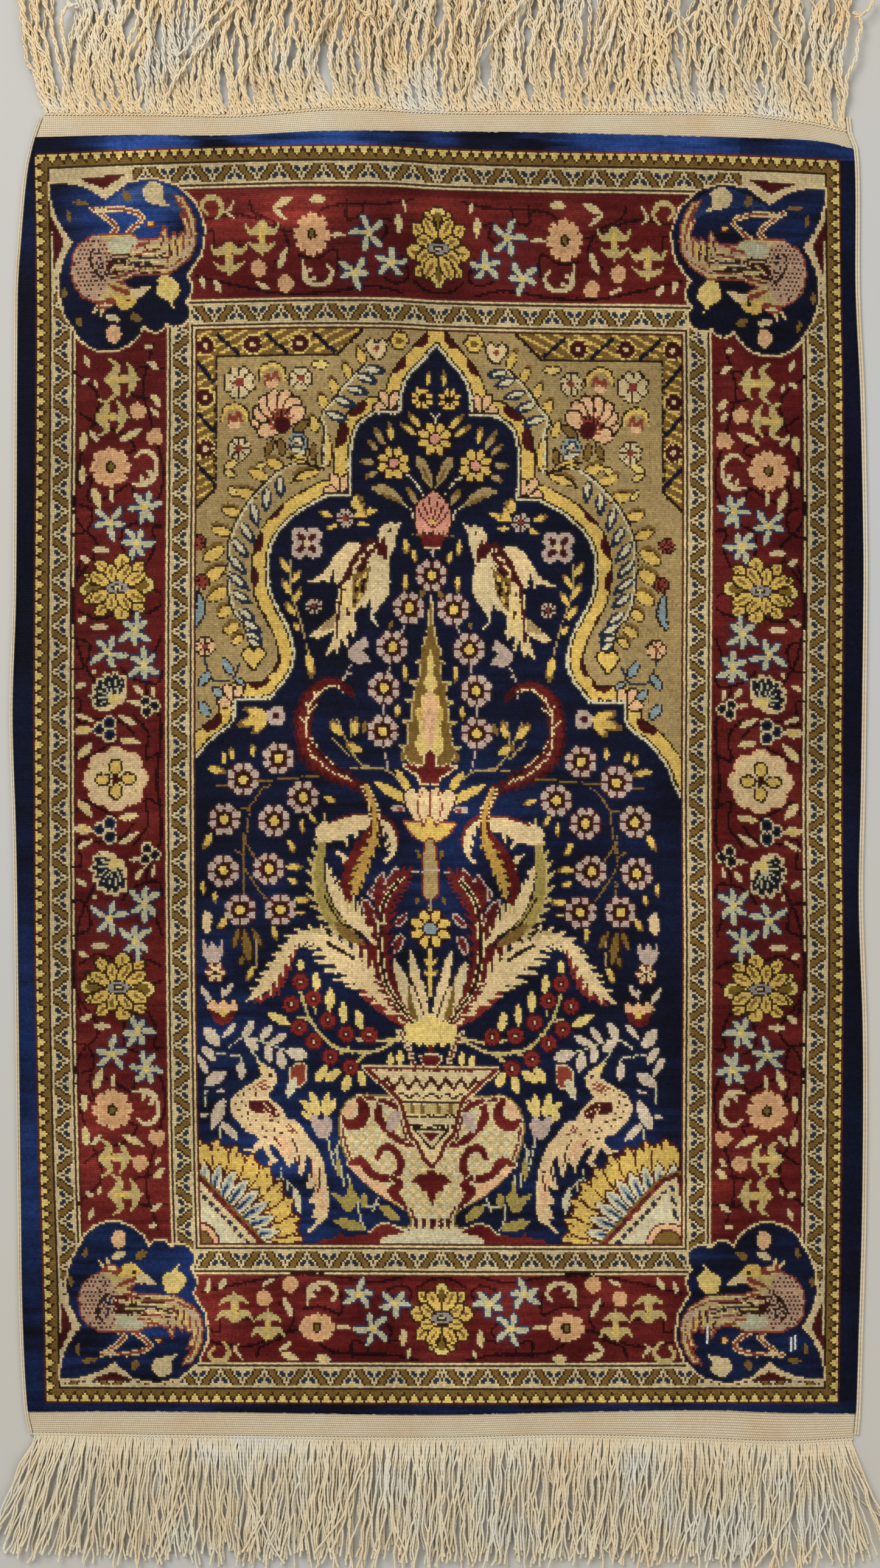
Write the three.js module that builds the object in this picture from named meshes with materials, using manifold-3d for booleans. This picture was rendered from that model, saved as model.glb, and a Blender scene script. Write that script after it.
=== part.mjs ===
// A small hand-knotted silk prayer carpet, lying flat. The knotted pile and the two flat-woven kilim
// ends are one cloth. A cord is overcast along each side. A twined heading closes each end, and the
// warp ends hang from it as a fringe of plied strands. Millimetres, +Z up, +Y towards the niche's point.
import * as THREE from "three";
import { mergeVertices } from "three/addons/utils/BufferGeometryUtils.js";
import Module from "manifold-3d";

const wasm = await Module();
wasm.setup();

// Cloth
const pileThickness = 3.0;
const kilimThickness = 1.3;
const pileShoulder = 0.9; // width of the worn, rounded edge of the pile
const shoulderDrop = 0.7; // how much lower the pile is at its very edge
const pieceGap = 0.3; // between pieces that are sewn or twined to each other
const nominalHalfWidth = 208; // where the end tables reach their last rows

// Side cords
const leftCordWidth = 1.9;
const rightCordWidth = 2.5;
const cordHeight = 2.3;

// Headings and fringe
const headingWidth = 2.2;
const headingHeight = 1.9;
const strandsAtAnEnd = 112;
const strandWidth = 1.5;
const strandHeight = 1.3;
const rootDepth = 1.1; // how far a strand's root reaches into the heading
const upperFringe = { length: 60, spread: 3, wave: 0.9, waves: 1.9, lean: -3.2, splay: 11, steps: 6 };
const lowerFringe = { length: 60, spread: 4, wave: 0.45, waves: 1.3, lean: 1.6, splay: 13, steps: 5 };

// The cloth's uneven outline. Sides: how far out the pile ends, at each place along the carpet.
const leftSide = [
  { along: -326, edge: -200.6 },
  { along: -315, edge: -203.0 },
  { along: -270, edge: -205.4 },
  { along: -213, edge: -206.3 },
  { along: -63, edge: -208.1 },
  { along: -27, edge: -208.8 },
  { along: 30, edge: -210.4 },
  { along: 87, edge: -208.7 },
  { along: 237, edge: -207.8 },
  { along: 261, edge: -206.3 },
  { along: 297, edge: -203.0 },
  { along: 313, edge: -199.4 },
  { along: 325, edge: -195.2 },
];
const rightSide = [
  { along: -329, edge: 204.0 },
  { along: -316, edge: 205.1 },
  { along: -279, edge: 206.3 },
  { along: -213, edge: 208.1 },
  { along: -129, edge: 208.4 },
  { along: -63, edge: 206.4 },
  { along: -6, edge: 207.5 },
  { along: 87, edge: 208.7 },
  { along: 111, edge: 208.7 },
  { along: 186, edge: 207.2 },
  { along: 237, edge: 204.9 },
  { along: 306, edge: 204.2 },
  { along: 318, edge: 200.2 },
];
// Ends: how far the pile and the kilim reach, at each place across the carpet.
const upperEnd = [
  { across: -208, pile: 313.2, kilim: 324.4 },
  { across: -148, pile: 314.6, kilim: 324.2 },
  { across: -106, pile: 314.3, kilim: 323.7 },
  { across: -55, pile: 316.6, kilim: 327.2 },
  { across: 0, pile: 316.4, kilim: 325.2 },
  { across: 53, pile: 315.8, kilim: 325.0 },
  { across: 97, pile: 314.8, kilim: 324.8 },
  { across: 152, pile: 313.2, kilim: 324.2 },
  { across: 187, pile: 311.7, kilim: 320.4 },
  { across: 208, pile: 307.8, kilim: 316.2 },
];
const lowerEnd = [
  { across: -208, pile: -315.2, kilim: -325.6 },
  { across: -160, pile: -314.9, kilim: -326.5 },
  { across: -97, pile: -315.5, kilim: -327.3 },
  { across: -6, pile: -316.7, kilim: -328.1 },
  { across: 65, pile: -315.3, kilim: -326.8 },
  { across: 133, pile: -314.4, kilim: -328.4 },
  { across: 172, pile: -315.7, kilim: -329.8 },
  { across: 208, pile: -316.1, kilim: -328.3 },
];

// A smooth curve through one column of a table, read at any place along another column.
function readTable(rows, placeColumn, valueColumn, place) {
  const last = rows.length - 1;
  const held = Math.min(Math.max(place, rows[0][placeColumn]), rows[last][placeColumn]);
  let i = 0;
  while (i < last - 1 && rows[i + 1][placeColumn] < held) i += 1;
  const slope = (a, b) =>
    (rows[b][valueColumn] - rows[a][valueColumn]) / (rows[b][placeColumn] - rows[a][placeColumn]);
  const span = rows[i + 1][placeColumn] - rows[i][placeColumn];
  const t = (held - rows[i][placeColumn]) / span;
  const slopeIn = slope(Math.max(i - 1, 0), i + 1) * span;
  const slopeOut = slope(i, Math.min(i + 2, last)) * span;
  const start = rows[i][valueColumn];
  const end = rows[i + 1][valueColumn];
  return (
    start * (2 * t ** 3 - 3 * t ** 2 + 1) +
    slopeIn * (t ** 3 - 2 * t ** 2 + t) +
    end * (3 * t ** 2 - 2 * t ** 3) +
    slopeOut * (t ** 3 - t ** 2)
  );
}

const nominalX = (share) => (2 * share - 1) * nominalHalfWidth;
const upperPile = (share) => readTable(upperEnd, "across", "pile", nominalX(share));
const upperKilim = (share) => readTable(upperEnd, "across", "kilim", nominalX(share));
const lowerPile = (share) => readTable(lowerEnd, "across", "pile", nominalX(share));
const lowerKilim = (share) => readTable(lowerEnd, "across", "kilim", nominalX(share));
const leftX = (y) => readTable(leftSide, "along", "edge", y);
const rightX = (y) => readTable(rightSide, "along", "edge", y);
const clothX = (share, y) => leftX(y) + (rightX(y) - leftX(y)) * share;

// A closed solid with a flat underside at z = 0. Its top is a net of points, rows by columns.
function plate(net) {
  const rows = net.length;
  const columns = net[0].length;
  const points = [];
  const triangles = [];
  for (const row of net) for (const p of row) points.push(p.x, p.y, p.z);
  for (const row of net) for (const p of row) points.push(p.x, p.y, 0);
  const top = (r, c) => r * columns + c;
  const under = (r, c) => rows * columns + top(r, c);
  const quad = (a, b, c, d) => triangles.push(a, b, c, a, c, d);
  for (let r = 0; r + 1 < rows; r += 1) {
    for (let c = 0; c + 1 < columns; c += 1) {
      quad(top(r, c), top(r, c + 1), top(r + 1, c + 1), top(r + 1, c));
      quad(under(r, c), under(r + 1, c), under(r + 1, c + 1), under(r, c + 1));
    }
    quad(under(r, 0), top(r, 0), top(r + 1, 0), under(r + 1, 0));
    quad(under(r + 1, columns - 1), top(r + 1, columns - 1), top(r, columns - 1), under(r, columns - 1));
  }
  for (let c = 0; c + 1 < columns; c += 1) {
    quad(under(0, c + 1), top(0, c + 1), top(0, c), under(0, c));
    quad(under(rows - 1, c), top(rows - 1, c), top(rows - 1, c + 1), under(rows - 1, c + 1));
  }
  const geometry = new THREE.BufferGeometry();
  geometry.setAttribute("position", new THREE.Float32BufferAttribute(points, 3));
  geometry.setIndex(triangles);
  return geometry;
}

// Even steps from 0 to 1.
const shares = (steps) => Array.from({ length: steps + 1 }, (_, i) => i / steps);

// Places across the cloth, with one just inside each side for the pile's shoulder.
const columns = 10;
const edgeShare = pileShoulder / (2 * nominalHalfWidth);
const acrossCloth = [0, edgeShare, ...shares(columns).slice(1, -1), 1 - edgeShare, 1];

// Rows along the cloth, from the lower kilim's end to the upper one's. Each gives y and z at a share.
const pileRows = 26;
const kilimRow = (t, from, to) => (share) => ({
  y: from(share) + (to(share) - from(share)) * t,
  z: kilimThickness,
});
const pileRow = (inset) => (share) => {
  const low = lowerPile(share);
  const high = upperPile(share);
  const y = low + (high - low) * inset;
  const fromEnd = Math.min(y - low, high - y) / pileShoulder;
  const fromSide = Math.min(share, 1 - share) / edgeShare;
  return { y, z: pileThickness - shoulderDrop * Math.max(1 - fromEnd, 1 - fromSide, 0) };
};
const shoulderInset = pileShoulder / (upperPile(0.5) - lowerPile(0.5));
const wallInset = 0.2 * shoulderInset; // the pile's end wall leans by this much
const insets = [wallInset, shoulderInset, ...shares(pileRows).slice(1, -1), 1 - shoulderInset, 1 - wallInset];
const clothRows = [
  kilimRow(0, lowerKilim, lowerPile),
  kilimRow(1, lowerKilim, lowerPile),
  ...insets.map(pileRow),
  kilimRow(0, upperPile, upperKilim),
  kilimRow(1, upperPile, upperKilim),
];

// The cloth: kilim, pile and kilim in one, thick where it is knotted, with a rounded edge to the pile.
function clothGeometry() {
  return plate(
    clothRows.map((row) =>
      acrossCloth.map((share) => {
        const { y, z } = row(share);
        return new THREE.Vector3(clothX(share, y), y, z);
      }),
    ),
  );
}

// A band with a rounded back: heights across it, as shares of its full height.
const roundBack = [
  { across: 0, height: 0.45 },
  { across: 0.22, height: 0.88 },
  { across: 0.5, height: 1 },
  { across: 0.78, height: 0.88 },
  { across: 1, height: 0.45 },
];

// A cord overcast along one side, from kilim end to kilim end. It bends where the cloth's side does.
function sideCordGeometry(side, width) {
  const section = side < 0 ? [...roundBack].reverse() : roundBack;
  return plate(
    clothRows.map((row) => {
      const { y } = row(side < 0 ? 0 : 1);
      return section.map((point) => {
        const out = pieceGap + width * point.across;
        const x = side < 0 ? leftX(y) - out : rightX(y) + out;
        return new THREE.Vector3(x, y, cordHeight * point.height);
      });
    }),
  );
}

// The twined heading along one end of the cloth.
function headingGeometry(end) {
  const edge = end > 0 ? upperKilim : lowerKilim;
  const section = end > 0 ? roundBack : [...roundBack].reverse();
  return plate(
    section.map((point) =>
      acrossCloth.map((share) => {
        const y = edge(share) + end * (pieceGap + headingWidth * point.across);
        return new THREE.Vector3(clothX(share, edge(share)), y, headingHeight * point.height);
      }),
    ),
  );
}

// A repeatable number from 0 to 1 for each strand.
const scatter = (n) => {
  const s = Math.sin(n * 12.9898 + 4.1) * 43758.5453;
  return s - Math.floor(s);
};

// One strand lying flat on the ground: a three-sided length with its flat side down.
function strandGeometry(end, index, fringe) {
  const share = (index + 0.5) / strandsAtAnEnd;
  const edge = end > 0 ? upperKilim : lowerKilim;
  const rootX = clothX(share, edge(share));
  const rootY = edge(share) + end * (pieceGap + headingWidth - rootDepth);
  const length = fringe.length + rootDepth - fringe.spread * scatter(index + 100 * end);
  const fromMiddle = 2 * share - 1;
  const drift =
    fringe.lean * (0.6 + 0.4 * Math.sin(rootX / 31)) + fringe.splay * fromMiddle ** 5 + 1.1 * Math.sin(rootX / 13);
  const phase = rootX / 23;
  const sway = (t) =>
    drift * t ** 1.4 + fringe.wave * t ** 0.5 * (Math.sin(fringe.waves * 2 * Math.PI * t + phase) - Math.sin(phase));
  const path = new THREE.CatmullRomCurve3(
    shares(fringe.steps).map((t) => new THREE.Vector3(rootX + sway(t), rootY + end * length * t, 0)),
  );
  const section = new THREE.Shape([
    new THREE.Vector2(0, -strandWidth / 2),
    new THREE.Vector2(0, strandWidth / 2),
    new THREE.Vector2(-strandHeight, 0),
  ]);
  return new THREE.ExtrudeGeometry(section, { steps: fringe.steps, extrudePath: path });
}

// Joining with manifold-3d, which needs bare positions with shared corners.
function toSolid(geometry) {
  const bare = geometry.clone();
  bare.deleteAttribute("normal");
  bare.deleteAttribute("uv");
  const merged = mergeVertices(bare, 1e-4);
  return new wasm.Manifold(
    new wasm.Mesh({
      numProp: 3,
      vertProperties: new Float32Array(merged.attributes.position.array),
      triVerts: new Uint32Array(merged.index.array),
    }),
  );
}

function toGeometry(solid) {
  const mesh = solid.getMesh();
  const geometry = new THREE.BufferGeometry();
  geometry.setAttribute("position", new THREE.BufferAttribute(new Float32Array(mesh.vertProperties), 3));
  geometry.setIndex(new THREE.BufferAttribute(new Uint32Array(mesh.triVerts), 1));
  geometry.computeVertexNormals();
  return geometry;
}

// A heading with the roots of its strands fused into it.
function fringeGeometry(end, fringe) {
  const strands = Array.from({ length: strandsAtAnEnd }, (_, i) => toSolid(strandGeometry(end, i, fringe)));
  return toGeometry(wasm.Manifold.union([toSolid(headingGeometry(end)), ...strands]));
}

const silkPile = new THREE.MeshStandardMaterial({ color: 0x6b2026, roughness: 0.55, metalness: 0 });
const silkCord = new THREE.MeshStandardMaterial({ color: 0xd8c49c, roughness: 0.7, metalness: 0 });
const silkFringe = new THREE.MeshStandardMaterial({ color: 0xe0ca9f, roughness: 0.7, metalness: 0 });

function piece(name, geometry, material) {
  geometry.computeVertexNormals();
  const mesh = new THREE.Mesh(geometry, material);
  mesh.name = name;
  return mesh;
}

const carpet = new THREE.Group();
carpet.add(
  piece("carpet_body", clothGeometry(), silkPile),
  piece("selvedge_left", sideCordGeometry(-1, leftCordWidth), silkCord),
  piece("selvedge_right", sideCordGeometry(1, rightCordWidth), silkCord.clone()),
  piece("fringe_top", fringeGeometry(1, upperFringe), silkFringe),
  piece("fringe_bottom", fringeGeometry(-1, lowerFringe), silkFringe.clone()),
);

// The origin is under the middle of the carpet's box.
const box = new THREE.Box3().setFromObject(carpet, true);
const middle = box.getCenter(new THREE.Vector3());
carpet.position.set(-middle.x, -middle.y, -box.min.z);

export default carpet;
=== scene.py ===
"""A small hand-knotted silk prayer carpet, laid flat: knotted pile, flat-woven ends, overcast side cords,
twined headings and plied fringes. The knots' silks come from a cartoon that is drawn shape by shape."""

import math

import bpy
import numpy as np
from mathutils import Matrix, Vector


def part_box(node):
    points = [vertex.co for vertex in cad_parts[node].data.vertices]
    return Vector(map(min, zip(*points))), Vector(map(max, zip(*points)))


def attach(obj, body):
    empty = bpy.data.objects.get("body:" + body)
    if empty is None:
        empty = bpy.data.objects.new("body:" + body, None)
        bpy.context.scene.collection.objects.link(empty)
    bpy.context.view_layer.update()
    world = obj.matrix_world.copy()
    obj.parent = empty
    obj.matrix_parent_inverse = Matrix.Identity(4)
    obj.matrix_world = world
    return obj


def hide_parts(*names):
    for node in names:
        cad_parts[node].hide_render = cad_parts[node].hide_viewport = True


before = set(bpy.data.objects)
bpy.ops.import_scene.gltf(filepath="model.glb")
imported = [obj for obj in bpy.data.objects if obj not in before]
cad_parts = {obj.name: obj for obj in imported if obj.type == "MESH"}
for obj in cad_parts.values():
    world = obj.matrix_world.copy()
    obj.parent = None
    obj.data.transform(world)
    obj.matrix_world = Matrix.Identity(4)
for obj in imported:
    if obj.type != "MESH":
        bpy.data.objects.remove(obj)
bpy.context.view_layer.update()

MM = 0.001

# The carpet's uneven outline, in millimetres from its middle. Sides: place along, edge across.
LEFT_SIDE = (
    (-326, -200.6),
    (-315, -203.0),
    (-270, -205.4),
    (-213, -206.3),
    (-63, -208.1),
    (-27, -208.8),
    (30, -210.4),
    (87, -208.7),
    (237, -207.8),
    (261, -206.3),
    (297, -203.0),
    (313, -199.4),
    (325, -195.2),
)
RIGHT_SIDE = (
    (-329, 204.0),
    (-316, 205.1),
    (-279, 206.3),
    (-213, 208.1),
    (-129, 208.4),
    (-63, 206.4),
    (-6, 207.5),
    (87, 208.7),
    (111, 208.7),
    (186, 207.2),
    (237, 204.9),
    (306, 204.2),
    (318, 200.2),
)
# Ends: place across, edge of the pile, edge of the kilim.
UPPER_END = (
    (-208, 313.2, 324.4),
    (-148, 314.6, 324.2),
    (-106, 314.3, 323.7),
    (-55, 316.6, 327.2),
    (0, 316.4, 325.2),
    (53, 315.8, 325.0),
    (97, 314.8, 324.8),
    (152, 313.2, 324.2),
    (187, 311.7, 320.4),
    (208, 307.8, 316.2),
)
LOWER_END = (
    (-208, -315.2, -325.6),
    (-160, -314.9, -326.5),
    (-97, -315.5, -327.3),
    (-6, -316.7, -328.1),
    (65, -315.3, -326.8),
    (133, -314.4, -328.4),
    (172, -315.7, -329.8),
    (208, -316.1, -328.3),
)
NOMINAL_HALF_WIDTH = 208

# Where the zigzag guard's outer line runs: the plain navy edge takes up the outline's unevenness.
LEFT_GUARD = (
    (-308, -193.8),
    (-264, -194.6),
    (-232, -195.5),
    (-200, -196.7),
    (-151, -197.9),
    (-87, -199.0),
    (72, -199.4),
    (187, -198.5),
    (254, -198.5),
    (304, -199.6),
)
RIGHT_GUARD = (
    (-309, 196.1),
    (-248, 196.8),
    (-151, 197.8),
    (-87, 198.5),
    (-18, 197.9),
    (112, 198.6),
    (187, 198.3),
    (246, 197.3),
    (302, 196.8),
)
UPPER_GUARD = (
    (-196, 304.5),
    (-148, 306.6),
    (-92, 308.3),
    (-65, 308.9),
    (-23, 308.6),
    (0, 307.1),
    (55, 305.6),
    (111, 304.8),
    (166, 303.2),
    (194, 301.7),
)
LOWER_GUARD = ((-193, -309.8), (0, -310.5), (196, -309.9))

# The knots, counted from the upper left corner
ACROSS = 415
ALONG = 613
EDGE_KNOTS = 9  # plain navy knots outside the guards, at the sides and the upper end
LOWER_EDGE_KNOTS = 5
GUARD_KNOTS = 20  # the zigzag guard, its lines, the outer meander guard and its lines
SIDE_BORDER = 44  # the red border's width
UPPER_BORDER = 52
LOWER_BORDER = 41
INNER_KNOTS = 15  # the inner meander guard with its lines
FIELD_TOP = EDGE_KNOTS + GUARD_KNOTS + UPPER_BORDER + INNER_KNOTS
FIELD_FOOT = ALONG - LOWER_EDGE_KNOTS - GUARD_KNOTS - LOWER_BORDER - INNER_KNOTS
FIELD_SIDE = EDGE_KNOTS + GUARD_KNOTS + SIDE_BORDER + INNER_KNOTS

# The cartoon is drawn on a half sheet in steps of 0.3 mm: a counts out from the middle line, and d
# counts down from the top of the field. A knot is this many steps wide and high.
KNOT_WIDE = 3.33
KNOT_HIGH = 3.437

# The dyed silks
SILKS = {
    "navy": (0.085, 0.080, 0.130),
    "blue": (0.130, 0.180, 0.310),
    "night": (0.085, 0.080, 0.110),
    "wine": (0.150, 0.045, 0.050),
    "maroon": (0.265, 0.070, 0.076),
    "crimson": (0.355, 0.088, 0.088),
    "rust": (0.500, 0.220, 0.160),
    "salmon": (0.790, 0.600, 0.420),
    "rose": (0.790, 0.540, 0.440),
    "fawn": (0.700, 0.560, 0.450),
    "ivory": (0.780, 0.690, 0.510),
    "cream": (0.830, 0.720, 0.520),
    "lemon": (0.830, 0.720, 0.420),
    "yellow": (0.810, 0.670, 0.340),
    "gold": (0.460, 0.345, 0.165),
    "olive": (0.440, 0.340, 0.130),
    "camel": (0.620, 0.520, 0.335),
    "brown": (0.190, 0.110, 0.050),
    "sage": (0.705, 0.680, 0.540),
    "pale": (0.780, 0.730, 0.580),
    "straw": (0.720, 0.630, 0.400),
    "peach": (0.840, 0.660, 0.480),
    "skin": (0.830, 0.710, 0.520),
    "dove": (0.560, 0.520, 0.480),
    "pearl": (0.690, 0.600, 0.530),
    "sky": (0.500, 0.560, 0.550),
    "dark": (0.120, 0.070, 0.045),
    "teal": (0.110, 0.150, 0.210),
    "shell": (0.770, 0.690, 0.580),
    "white": (0.860, 0.860, 0.840),
    "brick": (0.460, 0.145, 0.125),
    "moss": (0.600, 0.520, 0.270),
    "ochre": (0.700, 0.540, 0.250),
}
SILK = {name: i for i, name in enumerate(SILKS)}


def smooth_table(rows, places, column=1):
    """Reads a table at any places, on a smooth curve through its rows."""
    at = np.array([row[0] for row in rows], float)
    value = np.array([row[column] for row in rows], float)
    places = np.clip(places, at[0], at[-1])
    i = np.clip(np.searchsorted(at, places, side="left") - 1, 0, len(at) - 2)
    last = len(at) - 1
    before, after = np.maximum(i - 1, 0), np.minimum(i + 2, last)
    span = at[i + 1] - at[i]
    slope_in = (value[i + 1] - value[before]) / (at[i + 1] - at[before]) * span
    slope_out = (value[after] - value[i]) / (at[after] - at[i]) * span
    t = (places - at[i]) / span
    return (
        value[i] * (2 * t**3 - 3 * t**2 + 1)
        + slope_in * (t**3 - 2 * t**2 + t)
        + value[i + 1] * (3 * t**2 - 2 * t**3)
        + slope_out * (t**3 - t**2)
    )


def knot_places(columns, rows):
    """Where knot corners lie on the carpet, in millimetres, from their counts across and along."""
    share = columns / ACROSS
    nominal = (2 * share - 1) * NOMINAL_HALF_WIDTH
    upper, upper_guard = smooth_table(UPPER_END, nominal), smooth_table(UPPER_GUARD, nominal)
    lower, lower_guard = smooth_table(LOWER_END, nominal), smooth_table(LOWER_GUARD, nominal)
    stops = np.array([0, EDGE_KNOTS, ALONG - LOWER_EDGE_KNOTS, ALONG], float)
    y = between(rows, stops, (upper, upper_guard, lower_guard, lower))
    left, left_guard = smooth_table(LEFT_SIDE, y), smooth_table(LEFT_GUARD, y)
    right, right_guard = smooth_table(RIGHT_SIDE, y), smooth_table(RIGHT_GUARD, y)
    stops = np.array([0, EDGE_KNOTS, ACROSS - EDGE_KNOTS, ACROSS], float)
    x = between(columns, stops, (left, left_guard, right_guard, right))
    return x, y


def between(places, stops, values):
    """Runs straight from each value to the next as places pass the stops."""
    found = values[0] + 0 * places
    for i in range(len(stops) - 1):
        t = np.clip((places - stops[i]) / (stops[i + 1] - stops[i]), 0, 1)
        found = found + (values[i + 1] - values[i]) * t
    return found


# Shapes for the cartoon. Each is a function that gives the distance from its edge, less than nothing
# inside, and the box that it lies in: lowest a, highest a, lowest d, highest d.

TINY, FAR = 1e-9, 1e9


def disc(a, d, radius):
    """A round spot."""

    def distance(x, y):
        return np.hypot(x - a, y - d) - radius

    return distance, (a - radius, a + radius, d - radius, d + radius)


def oval(a, d, half_a, half_d, turn=0.0):
    """An oval, turned by so many degrees."""

    cos, sin, reach = math.cos(math.radians(turn)), math.sin(math.radians(turn)), max(half_a, half_d)

    def distance(x, y):
        u = ((x - a) * cos + (y - d) * sin) / half_a
        v = ((y - d) * cos - (x - a) * sin) / half_d
        return (np.hypot(u, v) - 1) * min(half_a, half_d)

    return distance, (a - reach, a + reach, d - reach, d + reach)


def blossom(a, d, radius, petals, notch=0.25, turn=0.0, squash=1.0):
    """A flower seen from above, with round petals and a notch between them, as a share of its radius."""

    def distance(x, y):
        u, v = x - a, (y - d) / squash
        lobe = np.abs(np.cos((np.arctan2(v, u) - math.radians(turn)) * petals / 2))
        return np.hypot(u, v) - radius * (1 - notch + notch * lobe**0.7)

    return distance, (a - radius, a + radius, d - radius, d + radius)


def spine(points, steps=8):
    """More points on the smooth curve through a few."""
    p = np.array(points, float)
    if len(p) == 2:
        t = np.linspace(0, 1, steps + 1)[:, None]
        return p[0] + (p[1] - p[0]) * t
    ends = np.vstack([2 * p[0] - p[1], p, 2 * p[-1] - p[-2]])
    found = []
    for i in range(1, len(ends) - 2):
        t = np.linspace(0, 1, steps, endpoint=False)[:, None]
        a, b, c, e = ends[i - 1 : i + 3]
        found.append(
            0.5 * (
                2 * b + (c - a) * t + (2 * a - 5 * b + 4 * c - e) * t**2 + (3 * b - a - 3 * c + e) * t**3
            )
        )
    return np.vstack([*found, p[-1:]])


def along_piece(x, y, start, end):
    """Where the nearest place of a straight piece lies, as a share of it, and how far off it is."""
    (ax, ay), (bx, by) = start, end
    ux, uy = bx - ax, by - ay
    t = np.clip(((x - ax) * ux + (y - ay) * uy) / max(ux * ux + uy * uy, TINY), 0, 1)
    return t, np.hypot(x - ax - ux * t, y - ay - uy * t)


def ribbon(line, halves):
    """Round along a line of points, as wide at each as twice its half."""
    halves = np.broadcast_to(np.asarray(halves, float), len(line))
    reach = float(halves.max())

    def distance(x, y):
        found = np.full(x.shape, FAR)
        for i in range(len(line) - 1):
            t, off = along_piece(x, y, line[i], line[i + 1])
            found = np.minimum(found, off - halves[i] - (halves[i + 1] - halves[i]) * t)
        return found

    low, high = line.min(0) - reach, line.max(0) + reach
    return distance, (low[0], high[0], low[1], high[1])


def stem(points, width):
    """A line of one width along a curve."""
    return ribbon(spine(points), width / 2)


def leaf_halves(t, width, fullest, fullness):
    """A leaf's half width at shares of its length: nothing at both ends, and most where it is fullest."""
    rise = np.where(t < fullest, t / fullest, (1 - t) / (1 - fullest))
    return width / 2 * np.sin(np.clip(rise, 0, 1) * np.pi / 2) ** fullness


def leaf(points, width, fullest=0.4):
    """A leaf along a curve, pointed at both ends."""
    line = spine(points)
    return ribbon(line, leaf_halves(np.linspace(0, 1, len(line)), width, fullest, 0.8))


def saw_leaf(points, width, teeth, bite=0.4, fullest=0.45):
    """A long feathery leaf whose edges are cut into teeth that point to its tip."""
    line = spine(points, 4 * teeth)
    t = np.linspace(0, 1, len(line))
    tooth = 1 - bite * ((t * teeth) % 1.0)
    return ribbon(line, leaf_halves(t, width, fullest, 0.7) * tooth)


def patch(points, smooth=True):
    """The inside of a closed outline."""
    p = np.array(points, float)
    if smooth:
        p = spine([*p[-2:], *p, *p[:2]], 5)[10:-10]
    low, high = p.min(0), p.max(0)

    def distance(x, y):
        inside = np.zeros(x.shape, bool)
        near = np.full(x.shape, FAR)
        for start, end in zip(p, np.roll(p, -1, 0)):
            near = np.minimum(near, along_piece(x, y, start, end)[1])
            (ax, ay), (ux, uy) = start, end - start
            crosses = (ay > y) != (end[1] > y)
            inside ^= crosses & (x < ax + ux * (y - ay) / (uy if uy else TINY))
        return np.where(inside, -near, near)

    return distance, (low[0], high[0], low[1], high[1])


STRAIGHT = 0.02  # an arc that bulges less than this is drawn straight


def arcade(corners, steps=7):
    """The inside of an outline of arcs. Each row is a corner and how far its arc bulges, in spans."""
    found = []
    for i, (a, d, bulge) in enumerate(corners):
        start, end = np.array((a, d), float), np.array(corners[(i + 1) % len(corners)][:2], float)
        span = np.hypot(*(end - start))
        along = (end - start) / span
        out = np.array((-along[1], along[0]))
        half = 2 * math.atan(2 * bulge)
        for t in np.linspace(0, 1, steps, endpoint=False):
            if abs(bulge) < STRAIGHT:
                found.append(start + (end - start) * t)
                continue
            radius, angle = span / 2 / math.sin(half), half * (2 * t - 1)
            middle = (start + end) / 2 - out * radius * math.cos(half)
            found.append(middle + radius * (math.cos(angle) * out + math.sin(angle) * along))
    return patch(found, False)


def joined(*shapes):
    """All that lies in one shape or another."""

    def distance(x, y):
        return np.minimum.reduce([shape(x, y) for shape, _ in shapes])

    boxes = np.array([box for _, box in shapes])
    return distance, (boxes[:, 0].min(), boxes[:, 1].max(), boxes[:, 2].min(), boxes[:, 3].max())


def ring(shape, inset, width):
    """A line inside a shape's edge."""
    return (lambda x, y: np.abs(shape[0](x, y) + inset + width / 2) - width / 2), shape[1]


def grown(shape, by):
    """A shape made larger all round, or smaller."""
    a0, a1, d0, d1 = shape[1]
    return (lambda x, y: shape[0](x, y) - by), (a0 - by, a1 + by, d0 - by, d1 + by)


MISCOUNT = 0.35  # how far knots stray over a shape's edge, in steps: no weaver ties every one on the line
RIM_WIDTH = 3.4  # a rim of one knot


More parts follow.
